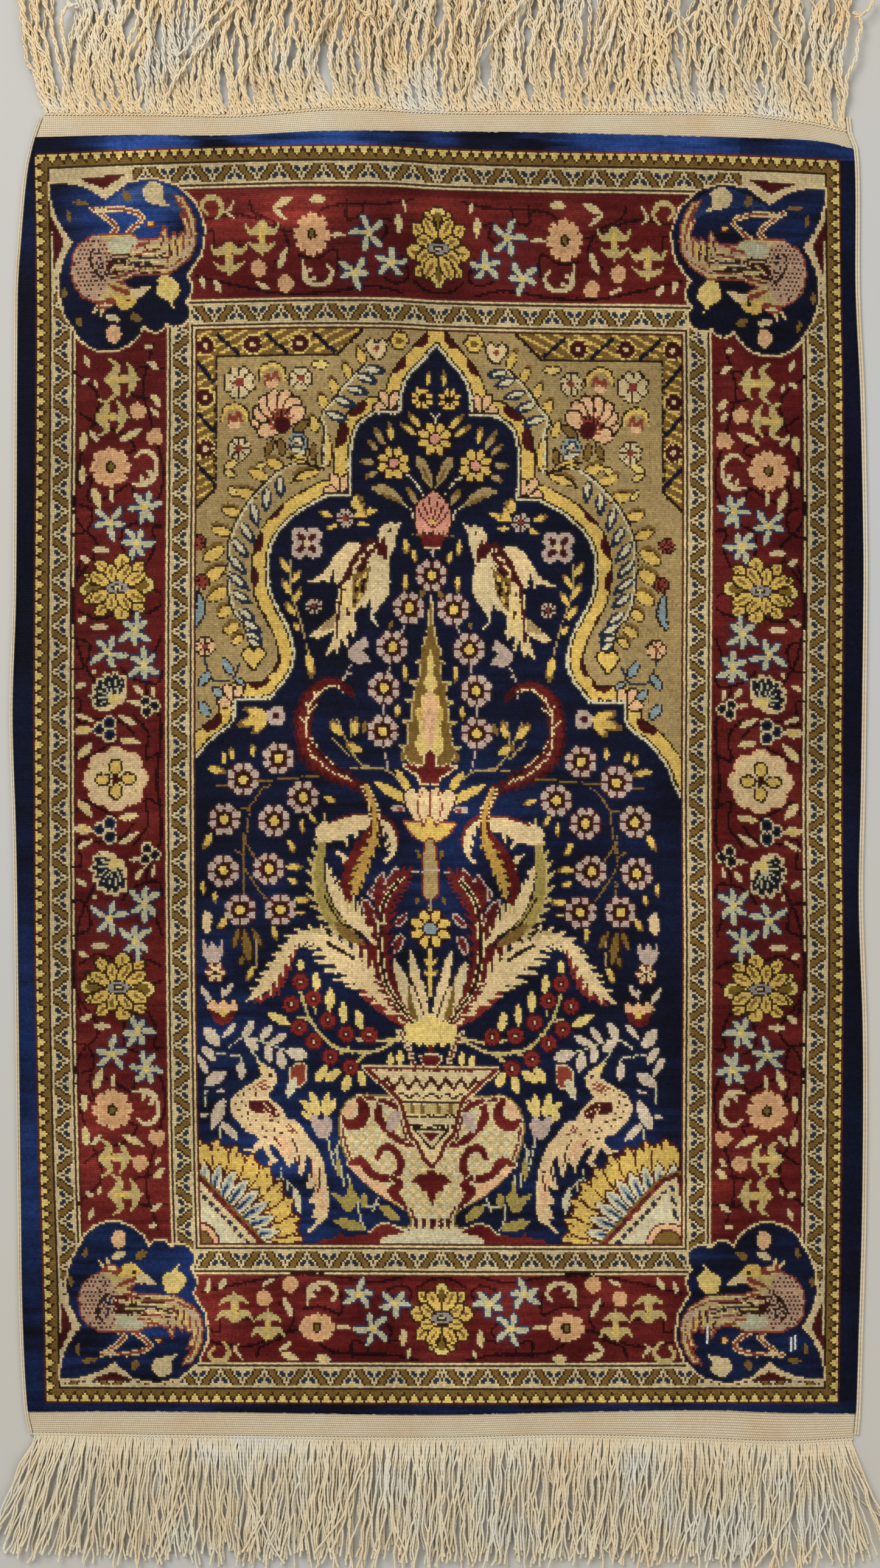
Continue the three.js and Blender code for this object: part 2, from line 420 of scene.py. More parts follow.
class Cartoon:
    """The knots' silks, drawn shape by shape on both halves at once."""

    def __init__(self, seed=7):
        chance = np.random.default_rng(seed)
        across = (np.arange(ACROSS) + 0.5 - ACROSS / 2) * KNOT_WIDE
        down = (np.arange(ALONG) + 0.5 - FIELD_TOP) * KNOT_HIGH
        miscount = chance.normal(0, MISCOUNT, (2, ALONG, ACROSS))
        self.x = across[None, :] + miscount[0]
        self.a, self.d = np.abs(self.x), down[:, None] + miscount[1]
        self.silk = np.zeros((ALONG, ACROSS), np.uint8)
        self.open = np.ones((ALONG, ACROSS), bool)
        self.slack = 0

    def enter(self, field, places=(0,), offsets=(0,)):
        """From here on only this part is knotted, about a middle line that runs to the left by offsets."""
        offset = np.interp(self.d, places, offsets)
        self.a = np.abs(self.x + offset) + offset
        self.open = field
        self.slack = math.ceil(2 * max(offsets) / KNOT_WIDE)

    def windows(self, box, rim):
        """The knots that a box and its rim can reach: one block over the middle, or one on each side."""
        a0, a1, d0, d1 = box
        top = int(max(0, math.floor((d0 - rim) / KNOT_HIGH) + FIELD_TOP - 1))
        foot = int(min(ALONG, math.ceil((d1 + rim) / KNOT_HIGH) + FIELD_TOP + 1))
        inner = max(0, int((a0 - rim) / KNOT_WIDE - 1) - self.slack)
        outer = int((a1 + rim) / KNOT_WIDE + 2)
        middle = ACROSS // 2
        if top >= foot or outer <= 0:
            return
        if inner == 0:
            yield slice(top, foot), slice(max(0, middle - outer), min(ACROSS, middle + outer + 1))
            return
        yield slice(top, foot), slice(max(0, middle - outer), max(0, middle - inner + 1))
        yield slice(top, foot), slice(min(ACROSS, middle + inner), min(ACROSS, middle + outer + 1))

    def fill(self, shape, silk, rim=None, rim_width=RIM_WIDTH, over=None):
        """Knots a shape in one silk, with a rim of another outside it, only over the silks named."""
        distance, box = shape
        for window in self.windows(box, rim_width if rim else 0):
            cells = self.silk[window]
            off = distance(self.a[window], self.d[window])
            allowed = self.open[window]
            if over is not None:
                allowed = allowed & np.isin(cells, [SILK[name] for name in over])
            if rim:
                cells[(off < rim_width) & allowed] = SILK[rim]
            if silk:
                cells[(off < 0) & allowed] = SILK[silk]

    def texture(self, shape, chooser, over=None):
        """Knots a shape in silks chosen by a function of a, d and the depth inside it."""
        distance, box = shape
        for window in self.windows(box, 0):
            cells = self.silk[window]
            off = distance(self.a[window], self.d[window])
            free = (off < 0) & self.open[window]
            if over:
                free &= np.isin(cells, [SILK[name] for name in over])
            for name, where in chooser(self.a[window], self.d[window], -off):
                cells[free & where] = SILK[name]


# The small repeats, charted knot by knot. Each row runs along the band, from its outer edge inwards.
ZIGZAG = (
    "lllllkllllk",
    "klllkkkllkk",
    "klllkgkllkg",
    "gklkgggkkgg",
    "ggkggggkggg",
    "ggggggggggg",
)
MEANDER_HALF = (
    ".dgggd...........dgggd",
    "..dgggd.bb...bb.dgggd.",
    "d.dgggd.bbb.bbb.dgggd.",
    "d..dgggd.bb.bb.dgggd..",
)
HALF_TURN = len(MEANDER_HALF[0]) // 2
MEANDER = MEANDER_HALF + tuple(row[HALF_TURN:] + row[:HALF_TURN] for row in reversed(MEANDER_HALF))
CHART_SILKS = {
    "l": "lemon",
    "k": "brown",
    "g": "gold",
    "b": "teal",
    "d": "dark",
    ".": "ivory",
}


# How far into its repeat a chart starts: down the sides, in the outer and the inner guard, and from the
# middle of both ends
OUTER_START, INNER_START, END_START = 7, 3, 10
INNER_LINES = ("maroon", "cream", "dark", "ivory")


def lay_lines(silk, depth, first, names):
    """Lines one knot wide, one after another from a depth on."""
    for i, name in enumerate(names):
        silk[depth == first + i] = SILK[name]


def lay_chart(silk, chart, depth, along):
    """A charted band, from each knot's depth in the chart and its count along the band."""
    codes = np.array([[SILK[CHART_SILKS[mark]] for mark in row] for row in chart], np.uint8)
    band = (depth >= 0) & (depth < len(chart))
    silk[band] = codes[depth[band], along[band] % codes.shape[1]]


def lay_bands(silk):
    """The plain edge, the guards and their lines, and the ground of the red border. Returns the field."""
    row, column = np.mgrid[0:ALONG, 0:ACROSS]
    from_side = np.minimum(column, ACROSS - 1 - column)
    from_end = np.minimum(row, ALONG - 1 - row + EDGE_KNOTS - LOWER_EDGE_KNOTS)
    from_middle = np.abs(column - ACROSS // 2)
    depth = np.minimum(from_side, from_end)
    along = np.where(from_side <= from_end, row + OUTER_START, from_middle + END_START)
    silk[:] = SILK["navy"]
    lay_lines(silk, depth, EDGE_KNOTS - 1, ("maroon",))
    first = EDGE_KNOTS
    lay_chart(silk, ZIGZAG, depth - first, along)
    first += len(ZIGZAG)
    lay_lines(silk, depth, first, ("dark", "ivory"))
    first += 2
    lay_chart(silk, MEANDER, depth - first, along)
    first += len(MEANDER)
    lay_lines(silk, depth, first, ("ivory", "dark", "cream", "maroon"))
    silk[depth >= EDGE_KNOTS + GUARD_KNOTS] = SILK["crimson"]

    # The inner guard is counted outwards from the field's edge
    into_side = FIELD_SIDE - 1 - from_side
    into_top, into_foot = FIELD_TOP - 1 - row, row - FIELD_FOOT
    out = np.maximum.reduce([into_side, into_top, into_foot])
    on_side = (into_side >= into_top) & (into_side >= into_foot)
    along = np.where(on_side, row + INNER_START, from_middle + END_START)
    lay_lines(silk, out, 0, INNER_LINES)
    first = len(INNER_LINES) + len(MEANDER)
    lay_chart(silk, MEANDER, first - 1 - out, along)
    lay_lines(silk, out, first, ("ivory", "dark", "cream"))
    field = out < 0
    silk[field] = SILK["navy"]
    return field


# The borders' upper half is drawn and then repeated upside down: upper places, and the lower ones.
UPPER_PLACES = (-257, -216, -74, 76, 220, 420, 550, 650, 734.5)
LOWER_PLACES = (1726, 1691, 1566, 1419, 1279, 1077, 937, 819, 734.5)


class Hand:
    """Sets a motif's own points on the half sheet. They run inwards and down from its place."""

    def __init__(self, cartoon, a, d, turn=0.0, wide=1.0, high=1.0, lower=False):
        self.cartoon, self.a, self.d, self.lower = cartoon, a, d, lower
        self.wide, self.high, self.size = wide, high, math.sqrt(abs(wide * high))
        self.cos, self.sin = math.cos(math.radians(turn)), math.sin(math.radians(turn))

    def at(self, *points):
        placed = []
        for u, v in points:
            u, v = u * self.wide, v * self.high
            a, d = self.a - u * self.cos + v * self.sin, self.d + v * self.cos + u * self.sin
            placed.append((a, float(np.interp(d, UPPER_PLACES, LOWER_PLACES)) if self.lower else d))
        return placed

    def angle(self, u, v, turn):
        """A turn of the motif's own, as the half sheet has it."""
        (a, d), (b, e) = self.at(
            (u, v), (u + math.cos(math.radians(turn)), v + math.sin(math.radians(turn))),
        )
        return math.degrees(math.atan2(e - d, b - a))

    def fill(self, shape, silk, **more):
        self.cartoon.fill(shape, silk, **more)

    def leaf(self, points, width, silk, fullest=0.4, **more):
        self.fill(leaf(self.at(*points), width * self.size, fullest), silk, **more)

    def saw(self, points, width, teeth, silk, bite=0.4, fullest=0.45, **more):
        self.fill(saw_leaf(self.at(*points), width * self.size, teeth, bite, fullest), silk, **more)

    def stem(self, points, width, silk, **more):
        self.fill(stem(self.at(*points), width * self.size), silk, **more)

    def band(self, points, halves, silk, **more):
        """A ribbon whose half width passes evenly through the numbers given."""
        line = spine(self.at(*points))
        halves = np.interp(np.linspace(0, 1, len(line)), np.linspace(0, 1, len(halves)), halves)
        self.fill(ribbon(line, halves * self.size), silk, **more)

    def patch(self, points, silk, smooth=True, **more):
        self.fill(patch(self.at(*points), smooth), silk, **more)

    def oval(self, u, v, half_u, half_v, silk, turn=0.0, **more):
        (a, d), size = self.at((u, v))[0], self.size
        self.fill(oval(a, d, half_u * size, half_v * size, self.angle(u, v, turn)), silk, **more)

    def spot(self, u, v, half_a, half_d, silk, **more):
        """An upright oval in steps of the half sheet, however the motif is turned and scaled."""
        self.fill(oval(*self.at((u, v))[0], half_a, half_d), silk, **more)

    def blossom(self, u, v, radius, petals, silk, notch=0.25, turn=0.0, squash=1.0, **more):
        a, d = self.at((u, v))[0]
        self.fill(blossom(a, d, radius * self.size, petals, notch, turn, squash), silk, **more)


def sheet_of(cartoon, lower=False):
    """A hand that takes places as they are on the half sheet."""
    return Hand(cartoon, 0, 0, wide=-1, lower=lower)


def lily(hand):
    """A lily from the side: a crown with curled petals, a waist and a cupped foot."""
    for side in (-1, 1):
        arm = spine(hand.at((0, -19), (side * 12, -12), (side * 20, -11), (side * 27, -23)))
        hand.fill(ribbon(arm, np.linspace(8.5, 1.8, len(arm))), "straw")
        foot = spine(hand.at((0, 16), (side * 12, 14), (side * 22, 6)))
        hand.fill(ribbon(foot, np.linspace(7.5, 1.5, len(foot))), "straw")
    hand.spot(0, -20, 10, 9, "straw")
    hand.leaf(((0, -14), (0, 31)), 12, "straw", 0.3)
    hand.leaf(((0, -26), (0, 8)), 8, "yellow", 0.5)


def salmon_rosette(hand, radius=33.0, squash=1.0):
    """Eight ragged petals round a dark eye."""
    hand.blossom(0, 0, radius * 0.84, 8, "salmon", 0.1, 0, squash)
    for i in range(8):
        angle = math.radians(i * 45 + 4)
        for lean, reach in ((-0.15, 1.0), (0.16, 0.97)):
            u, v = math.cos(angle + lean) * radius * reach, math.sin(angle + lean) * radius * reach * squash
            hand.leaf(((u * 0.3, v * 0.3), (u, v)), radius * 0.34, "salmon", 0.75)
    petals = blossom(*hand.at((0, 0))[0], radius, 8, 0.16, 0, squash)
    hand.fill(ring(petals, 2, 3), "peach", over=("salmon",))
    hand.spot(0, 0, 8.2, 9.5, "dark")
    hand.spot(0, 0, 4.6, 5.8, "olive")


def dot(hand, wide=12.0, high=12.5):
    """A ragged pink ball."""
    hand.spot(0, 0, wide, high, "salmon")
    hand.patch(((-wide, -5), (-3, -high - 2), (5, -high + 1), (wide, -6), (wide, 6), (2, high)), "salmon")


def heart(hand):
    """A pink cleft petal."""
    hand.patch(((-14, 2), (-6, -10), (4, -14), (12, -9), (13, 8), (7, 15), (1, 9), (-6, 14)), "salmon")


def scroll(hand):
    """A cream hook with a leafy foot."""
    hook = spine(hand.at((-17, -20), (-7, -28), (8, -25), (17, -10), (16, 7), (9, 19), (-4, 25), (-28, 27)))
    t = np.linspace(0, 1, len(hook))
    hand.fill(ribbon(hook, np.interp(t, (0, 0.3, 0.55, 0.8, 1), (2.2, 4.2, 2.8, 6, 0.8))), "ivory")
    hand.leaf(((2, 2), (8, 10), (10, 20)), 8, "ivory")
    hand.leaf(((-10, 10), (-6, 18), (-4, 24)), 8, "ivory")


def six_star(hand, petals=6, turn=-75.0, radius=26.0):
    """A pale flower with pointed petals, its outline in blue."""
    for rim in (True, False):
        for i in range(petals):
            angle = math.radians(turn + i * 360 / petals + 9 * math.sin(2.4 * i + turn))
            reach = radius * (1.1 + 0.16 * math.sin(3.1 * i + turn))
            bend = (0.55 * reach * math.cos(angle + 0.12), 0.55 * reach * math.sin(angle + 0.12))
            points = ((0, 0), bend, (reach * math.cos(angle), reach * math.sin(angle)))
            hand.leaf(points, 15.5 if rim else 10, "blue" if rim else "sage", 0.55)
    hand.blossom(0, 0, 6.2, 5, "lemon", 0.3, turn)


def yellow_palmette(hand):
    """A wide bloom of yellow petals around a grey heart, an olive leaf at either end."""
    for u, v in ((-52, 2), (57, -3)):
        hand.leaf(((u * 0.45, v), (u * 1.08, v)), 27, "lemon", 0.5, rim="brown")
        hand.leaf(((u * 0.5, v), (u * 0.95, v)), 19, "olive", 0.5)
    outer = (
        (10, -34, 11, -47, 24), (28, -28, 46, -38, 15), (-14, -28, -30, -42, 18), (-26, -8, -50, -22, 13),
    )
    inner = ((-6, -9, -8, -36, 18), (4, -8, 24, -36, 18), (15, -5, 48, -23, 18), (-11, -4, -40, -24, 17))
    for petals in (outer, inner):
        for u, v, tip_u, tip_v, width in petals:
            for side in (1, -1):
                points = ((u, v * side), (tip_u, tip_v * side))
                hand.leaf(points, width, "yellow", 0.55, rim="brown")
                middle = ((u * 0.7 + tip_u * 0.3, (v * 0.7 + tip_v * 0.3) * side), points[1])
                hand.leaf(middle, width * 0.28, "gold", 0.4)
    hand.spot(3, 0, 20, 11, "dark")
    hand.spot(3, 0, 18, 9, "dove")
    hand.spot(3, 0, 9, 5, "dark")
    hand.spot(3, 0, 5.5, 2.6, "ivory")


def fan_palmette(hand):
    """Dark petals with ivory edges, fanned out from a cream forked leaf."""
    fan = ((-150, 44), (-130, 47), (-110, 47), (-90, 46), (-70, 42), (-172, 42), (166, 38))
    for part in range(3):
        for angle, reach in fan:
            turn = math.radians(angle)
            u, v = 14 + reach * math.cos(turn), 12 + reach * math.sin(turn)
            if part == 0:
                hand.leaf(((14, 12), (u, v)), 19, "ivory", 0.68)
            elif part == 1:
                hand.leaf(((14, 12), (14 + (u - 14) * 0.9, 12 + (v - 12) * 0.9)), 13, "night", 0.68)
            else:
                hand.stem(((12, 10), (14 + (u - 14) * 0.66, 12 + (v - 12) * 0.66)), 2.8, "sage")
    hand.leaf(((4, 4), (22, 14), (34, -10)), 12, "cream", 0.4)
    hand.leaf(((8, 10), (10, 22), (-14, 30)), 12, "cream", 0.4)
    hand.oval(12, 12, 9, 9, "lemon")


def tulip(hand):
    """Three dark balls in ivory rings between cream leaves."""
    hand.leaf(((-25, -34), (-9, -18)), 9, "ivory", 0.4)
    hand.leaf(((5, -30), (8, -14)), 8, "ivory")
    hand.leaf(((-36, -8), (-14, -4)), 8, "ivory", 0.7)
    for u, v in ((-6, -6), (8, 0), (-4, 9)):
        hand.spot(u, v, 7.2, 7.6, "night", rim="ivory", rim_width=3.0)


def trefoil(hand):
    """Three dark balls on a pale leaf."""
    hand.leaf(((-52, 2), (-22, 0)), 16, "ivory", 0.45)
    hand.leaf(((-48, 1), (-24, 0)), 8, "yellow", 0.5)
    for u, v in ((-9, 0), (6, -10), (6, 10)):
        hand.spot(u, v, 9.5, 9.5, "blue", rim="ivory", rim_width=3.0)
        hand.spot(u, v, 7.5, 7.5, "night")


def great_rosette(hand):
    """The large pink flower half-way down each side, four yellow petals at its heart."""
    hand.fill(blossom(*hand.at((0, 0))[0], 54, 8, 0.16, 0), "peach")
    hand.fill(blossom(*hand.at((0, 0))[0], 50, 8, 0.16, 0), "skin")
    for u, v, half_u, half_v in ((-21, 0, 14, 11), (21, 0, 14, 11), (0, -20, 12, 14.5), (0, 20, 12, 14.5)):
        hand.spot(u, v, half_u, half_v, "dark")
        hand.spot(u, v, half_u - 3.4, half_v - 3.4, "yellow")
    for u, v in ((-8, -8), (8, -8), (-8, 8), (8, 8)):
        hand.fill(disc(*hand.at((u, v))[0], 2.2), "ivory")
    hand.spot(0, 0, 7, 6, "maroon")


def c_scroll(hand):
    """A round pale hook and a small leaf beside it."""
    hook = spine(hand.at((-9, 10), (-17, -3), (-9, -16), (6, -16), (15, -3), (12, 12), (2, 19)))
    t = np.linspace(0, 1, len(hook))
    hand.fill(ribbon(hook, np.interp(t, (0, 0.4, 0.8, 1), (2.2, 5, 3.6, 1))), "straw")
    hand.leaf(((38, -15), (29, 2), (24, 8), (36, 18)), 6, "ivory")


# Small leaves of the borders' upper half, one a row: two places on the half sheet, and the width
SIDE_LEAVES = (
    (584, 34, 574, 57, 9),
    (485, 22, 470, 25, 9),
    (480, 47, 462, 62, 10),
    (588, 80, 574, 74, 8),
    (567, 76, 561, 90, 7),
    (472, 103, 457, 123, 12),
    (472, 125, 462, 140, 9),
    (583, 160, 587, 192, 14),
    (576, 159, 558, 179, 9),
    (526, 178, 487, 158, 12),
    (587, 218, 585, 247, 13),
    (568, 252, 556, 288, 14),
    (538, 253, 537, 280, 6),
    (570, 356, 538, 357, 11),
    (588, 366, 572, 375, 11),
    (592, 474, 576, 466, 10),
    (572, 484, 540, 483, 11),
    (567, 560, 561, 556, 8),
    (594, 582, 577, 574, 9),
    (594, 626, 566, 638, 9),
    (525, 630, 491, 647, 10),
    (524, 670, 489, 675, 12),
    (592, 701, 566, 672, 14),
)
UPPER_LEAVES = (
    (270, -201, 238, -216, 13),
    (272, -199, 249, -179, 9),
    (210, -212, 184, -213, 14),
    (249, -136, 264, -97, 11),
    (391, -92, 386, -66, 9),
    (370, -83, 358, -63, 10),
    (301, -77, 279, -66, 8),
    (65, -192, 64, -155, 12),
    (57, -212, 51, -192, 6),
    (178, -153, 150, -154, 8),
)
# Dark vines that wander through the red ground
VINES = (
    ((470, 20), (487, 90), (470, 160), (452, 240), (478, 300), (520, 330), (500, 400), (455, 430)),
    ((600, 60), (560, 110), (588, 200), (596, 300), (560, 350), (598, 420), (590, 520), (560, 580)),
    ((455, 500), (480, 580), (455, 640), (462, 734)),
    ((452, 60), (498, 60), (506, 100), (470, 110)),
    ((590, 130), (560, 150), (520, 166), (500, 190), (520, 200)),
    ((590, 250), (570, 236), (576, 274), (540, 268), (510, 250), (500, 268)),
    ((600, 330), (576, 322), (570, 290), (590, 280)),
    ((455, 320), (470, 322), (466, 350), (480, 380), (500, 374)),
    ((595, 400), (584, 370), (560, 372), (540, 380)),
    ((455, 450), (480, 462), (520, 460), (560, 470), (590, 456)),
    ((600, 500), (572, 512), (580, 548), (600, 552)),
    ((452, 560), (462, 578), (500, 570), (520, 552)),
    ((600, 600), (586, 604), (590, 640), (560, 634), (520, 640), (500, 660)),
    ((455, 690), (480, 700), (476, 660), (500, 630)),
    ((595, 680), (584, 700), (560, 690), (530, 672)),
    ((430, -170), (330, -190), (240, -160), (180, -200), (90, -205), (40, -215)),
    ((400, -90), (320, -70), (250, -58), (180, -60), (110, -70), (60, -60)),
    ((400, -150), (372, -164), (366, -130), (320, -140)),
    ((310, -210), (300, -190), (262, -170), (246, -130), (270, -110)),
    ((230, -120), (200, -116), (170, -130), (166, -100), (180, -80)),
    ((150, -210), (150, -180), (128, -186), (120, -206)),
    ((100, -140), (84, -160), (92, -180), (70, -176)),
    ((60, -120), (50, -90), (66, -76), (90, -84)),
    ((40, -80), (20, -66), (0, -64)),
)
VEINED = 11  # a border leaf wider than this has a lemon vein


def draw_borders(cartoon):
    """The red border's flowers and leaves, upper half and lower half."""
    for lower in (False, True):

        def hand(a, d, **more):
            return Hand(cartoon, a, d, lower=lower, **more)

        for vine in VINES:
            sheet_of(cartoon, lower).stem(vine, 4.6, "wine")
        for rows in (SIDE_LEAVES, UPPER_LEAVES):
            for a, d, tip_a, tip_d, width in rows:
                place = hand(a, d)
                place.leaf(((0, 0), (a - tip_a, tip_d - d)), width, "ivory", 0.45)
                if width > VEINED:
                    place.leaf(((0, 0), ((a - tip_a) * 0.8, (tip_d - d) * 0.8)), width * 0.3, "lemon", 0.5)
        lily(hand(520, 76, turn=-90, wide=1.24))
        lily(hand(536, 138, turn=-90, wide=1.12))
        dot(hand(495, 130))
        heart(hand(469, 172))
        salmon_rosette(hand(540, 220))
        scroll(hand(481, 224))
        six_star(hand(483, 288), 6, -72)
        six_star(hand(540, 311), 5, -62, 27)
        six_star(hand(496, 347), 6, -65, 25)
        yellow_palmette(hand(530, 419))
        six_star(hand(498, 490), 6, -92, 26)
        six_star(hand(541, 525), 5, -70, 29)
        six_star(hand(483, 547), 6, -98, 26)
        fan_palmette(hand(544, 591))
        tulip(hand(474, 615))
        trefoil(hand(545, 652))
        c_scroll(hand(371, -201))
        lily(hand(290, -149))
        lily(hand(345, -117, wide=1.1))
        salmon_rosette(hand(208, -155), 30, 0.85 if lower else 1.22)
        dot(hand(296, -100), 12, 13)
        dot(hand(252, -74), 12, 14)
        scroll(hand(200, -88, turn=90, wide=0.95, high=0.85))
        six_star(hand(115, -157), 5, -110, 30)
        six_star(hand(138, -92), 5, -68, 25)
        six_star(hand(78, -109), 5, -88, 25)
        yellow_palmette(hand(0, -140, turn=90, wide=1.1, high=0.93))
    great_rosette(Hand(cartoon, 529, 734.5))


def lay_leaves(hand, silk, rows, **more):
    """Leaves, one a row: two places and the width. The yellow ones have gold tips."""
    for a, d, tip_a, tip_d, width in rows:
        if silk == "yellow":
            hand.leaf(((a, d), (tip_a, tip_d)), width, "gold", 0.6, **more)
            tip_a, tip_d, width = 0.8 * tip_a + 0.2 * a, 0.8 * tip_d + 0.2 * d, width * 0.9
        hand.leaf(((a, d), (tip_a, tip_d)), width, silk, 0.5, **more)


# Corners of the outline of the border's corner pieces, and how far the arc after each bulges
MEDALLION = (
    (638, -252, 0.1),
    (547, -220, 0.54),
    (416, -91, 0.2),
    (418, -48, 0.5),
    (449, -14, 0.36),
    (485, -14, 0.36),
    (602, -12, 0.17),
    (601, -153, 0.1),
)
# Strokes on the corner bird's wing and tail, one a row: from, to, width and silk
BIRD_STROKES = (
    (350, 690, 320, 760, 22, "brown"),
    (320, 760, 360, 860, 22, "brown"),
    (360, 860, 420, 920, 22, "brown"),
    (650, 685, 760, 680, 15, "rust"),
    (720, 660, 800, 650, 15, "rust"),
    (500, 740, 600, 735, 15, "maroon"),
    (690, 740, 850, 715, 15, "rust"),
    (500, 770, 690, 765, 15, "brown"),
    (700, 775, 860, 770, 13, "teal"),
    (470, 830, 520, 790, 40, "maroon"),
    (520, 800, 640, 795, 14, "brown"),
    (660, 805, 790, 800, 15, "teal"),
    (540, 830, 650, 830, 14, "brown"),
    (680, 835, 850, 840, 15, "brown"),
    (470, 890, 560, 870, 30, "maroon"),
    (560, 865, 930, 860, 13, "rust"),
    (540, 915, 640, 890, 22, "rust"),
    (880, 680, 910, 600, 15, "maroon"),
    (870, 760, 920, 740, 17, "brown"),
    (930, 800, 960, 720, 15, "rust"),
    (940, 660, 965, 760, 15, "dark"),
    (1000, 650, 1010, 760, 17, "maroon"),
    (1060, 610, 1065, 720, 17, "rust"),
    (960, 840, 1080, 770, 13, "rust"),
    (1030, 760, 1110, 700, 15, "pearl"),
    (1120, 560, 1110, 680, 13, "rust"),
    (1040, 330, 1085, 430, 17, "rust"),
    (1085, 430, 1110, 540, 20, "rust"),
    (975, 640, 985, 720, 17, "yellow"),
    (1035, 640, 1030, 740, 17, "yellow"),
    (1070, 470, 1090, 560, 13, "cream"),
)


def hand_oval(hand, u, v, half_u, half_v):
    """An oval outline in a motif's own units, for joining to others."""
    (a, d), size = hand.at((u, v))[0], hand.size
    return oval(a, d, half_u * size, half_v * size)


def dots(a, d, depth, size, step):
    """Where small dots lie, in staggered rows."""
    row = np.floor(d / step)
    return ((a + row * step / 2) % step < size) & (d % step < size) & (depth > size)


def medallion_bird(hand):
    """A bird with a speckled, bowed breast that looks back, its striped tail sweeping up."""
    for legs in (
        ((590, 600), (740, 455), (590, 385), (460, 385)), ((500, 580), (530, 520), (400, 400), (350, 370)),
    ):
        hand.stem(legs, 42, "cream")
        hand.stem(legs, 19, "rust")
    for tip in ((360, 360), (420, 350), (470, 350)):
        hand.leaf(((440, 410), tip), 30, "cream")
    body = patch(
        hand.at(
            (345, 590), (560, 590), (650, 590), (710, 630), (830, 640), (885, 615), (915, 535), (930, 620),
            (950, 650), (990, 590), (1005, 650), (1050, 585), (1080, 600), (1092, 555), (1040, 440),
            (1090, 510), (1075, 420), (1000, 295), (1060, 310), (1110, 400), (1145, 490), (1155, 600),
            (1140, 700), (1090, 790), (1000, 855), (940, 895), (670, 900), (600, 930), (530, 955),
            (600, 985), (640, 1020), (600, 1070), (530, 1060), (440, 1090), (370, 1100), (270, 1050),
            (210, 980), (185, 860), (195, 740), (240, 655),
        ),
        False,
    )
    hand.fill(body, "straw", rim="rust", rim_width=3)
    breast = joined(hand_oval(hand, 350, 800, 165, 215), hand_oval(hand, 330, 960, 130, 130))
    hand.fill(breast, "fawn", over=("straw",))
    texture = hand.cartoon.texture
    texture(breast, lambda a, d, depth: [("wine", dots(a, d, depth, 3.3, 7.4))], over=("fawn",))
    hand.patch(
        ((560, 600), (700, 630), (640, 700), (600, 740), (500, 720), (470, 640)), "sage",
        over=("straw", "fawn"),
    )
    tail = patch(hand.at((480, 600), (1160, 500), (1160, 900), (480, 940)), False)
    texture(tail, lambda a, d, depth: [("fawn", (a * 0.1 + d) % 13 < 5.85)], over=("straw",))
    wing = patch(hand.at((430, 700), (960, 690), (900, 900), (460, 930)), False)
    texture(
        wing,
        lambda a, d, depth: [
            ("brown", ((a * 0.1 + d) % 13 < 3.4) & ((a + d) % 19 < 12)),
            ("cream", ((a * 0.1 + d + 5) % 13 < 3) & ((a - d) % 23 < 14)),
        ],
        over=("straw", "fawn"),
    )
    for u, v, tip_u, tip_v, width, silk in BIRD_STROKES:
        hand.stem(((u, v), (tip_u, tip_v)), width, silk)
    for u, v in (
        (350, 760), (375, 800), (400, 720), (410, 770), (400, 840), (430, 820), (440, 880), (380, 870),
    ):
        hand.oval(u, v, 12, 16, "night")
    hand.patch(((440, 950), (560, 1000), (650, 1030), (610, 1060), (520, 1020)), "rust", False)
    hand.patch(
        ((630, 1020), (790, 990), (795, 1010), (730, 1070), (680, 1100), (640, 1070)), "cream", False,
    )
    hand.patch(
        ((500, 1060), (620, 1065), (690, 1090), (660, 1140), (610, 1170), (560, 1165), (520, 1120)),
        "yellow",
    )
    hand.oval(622, 1098, 17, 17, "dark")
    hand.patch(
        ((370, 1120), (440, 1090), (520, 1080), (530, 1120), (480, 1150), (420, 1180), (390, 1150)), "rust",
        False,
    )
    for u, v, tip_u, tip_v in ((380, 1130, 345, 1200), (420, 1150, 410, 1220), (400, 1130, 500, 1130)):
        hand.leaf(((u, v), (tip_u, tip_v)), 26, "cream")


def corner_medallion(cartoon, lower):
    """A lobed navy ground over the guard's corner, with a long-tailed bird that looks back."""
    hand = sheet_of(cartoon, lower)
    hand.patch(
        ((636, -271), (500, -271), (500, -230), (590, -110), (608, -88), (636, -100)), "ivory", False,
    )
    for corners in (((588, -256), (512, -262), (548, -238)), ((638, -200), (616, -154), (633, -110))):
        hand.patch(corners, "maroon", False)
    turn = -1 if lower else 1
    outline = arcade([(a, hand.at((a, d))[0][1], bulge * turn) for a, d, bulge in MEDALLION])
    hand.fill(grown(outline, 3.6), "cream")
    hand.fill(outline, "navy")
    # Painted sheen: a patch of lighter blue on the upper medallion's navy ground only
    if not lower:
        hand.patch(((540, -215), (480, -245), (425, -225), (398, -170), (420, -190), (470, -215)), "blue")

    medallion_bird(Hand(cartoon, 642.5, -285, wide=0.2105, high=0.2105, lower=lower))
    hand.patch(
        ((486, -230), (470, -248), (450, -238), (452, -218), (440, -206), (464, -210), (480, -216)),
        "ivory",
    )
    hand.oval(472, -178, 9, 6, "maroon")
    hand.oval(472, -179, 5, 4, "yellow")
    hand.patch(
        ((462, -86), (446, -92), (430, -80), (426, -62), (438, -50), (434, -37), (448, -52), (464, -62)),
        "lemon",
    )
    hand.oval(535, 1, 12, 15, "peach")
    hand.leaf(((548, -30), (522, -20)), 12, "ivory")
    lay_leaves(
        hand, "gold",
        (
            (602, -219, 574, -215, 9), (608, -208, 607, -184, 7), (617, -78, 616, -60, 9),
            (594, -30, 590, -12, 9), (516, -235, 508, -216, 12), (508, -30, 490, -20, 13),
        ),
    )


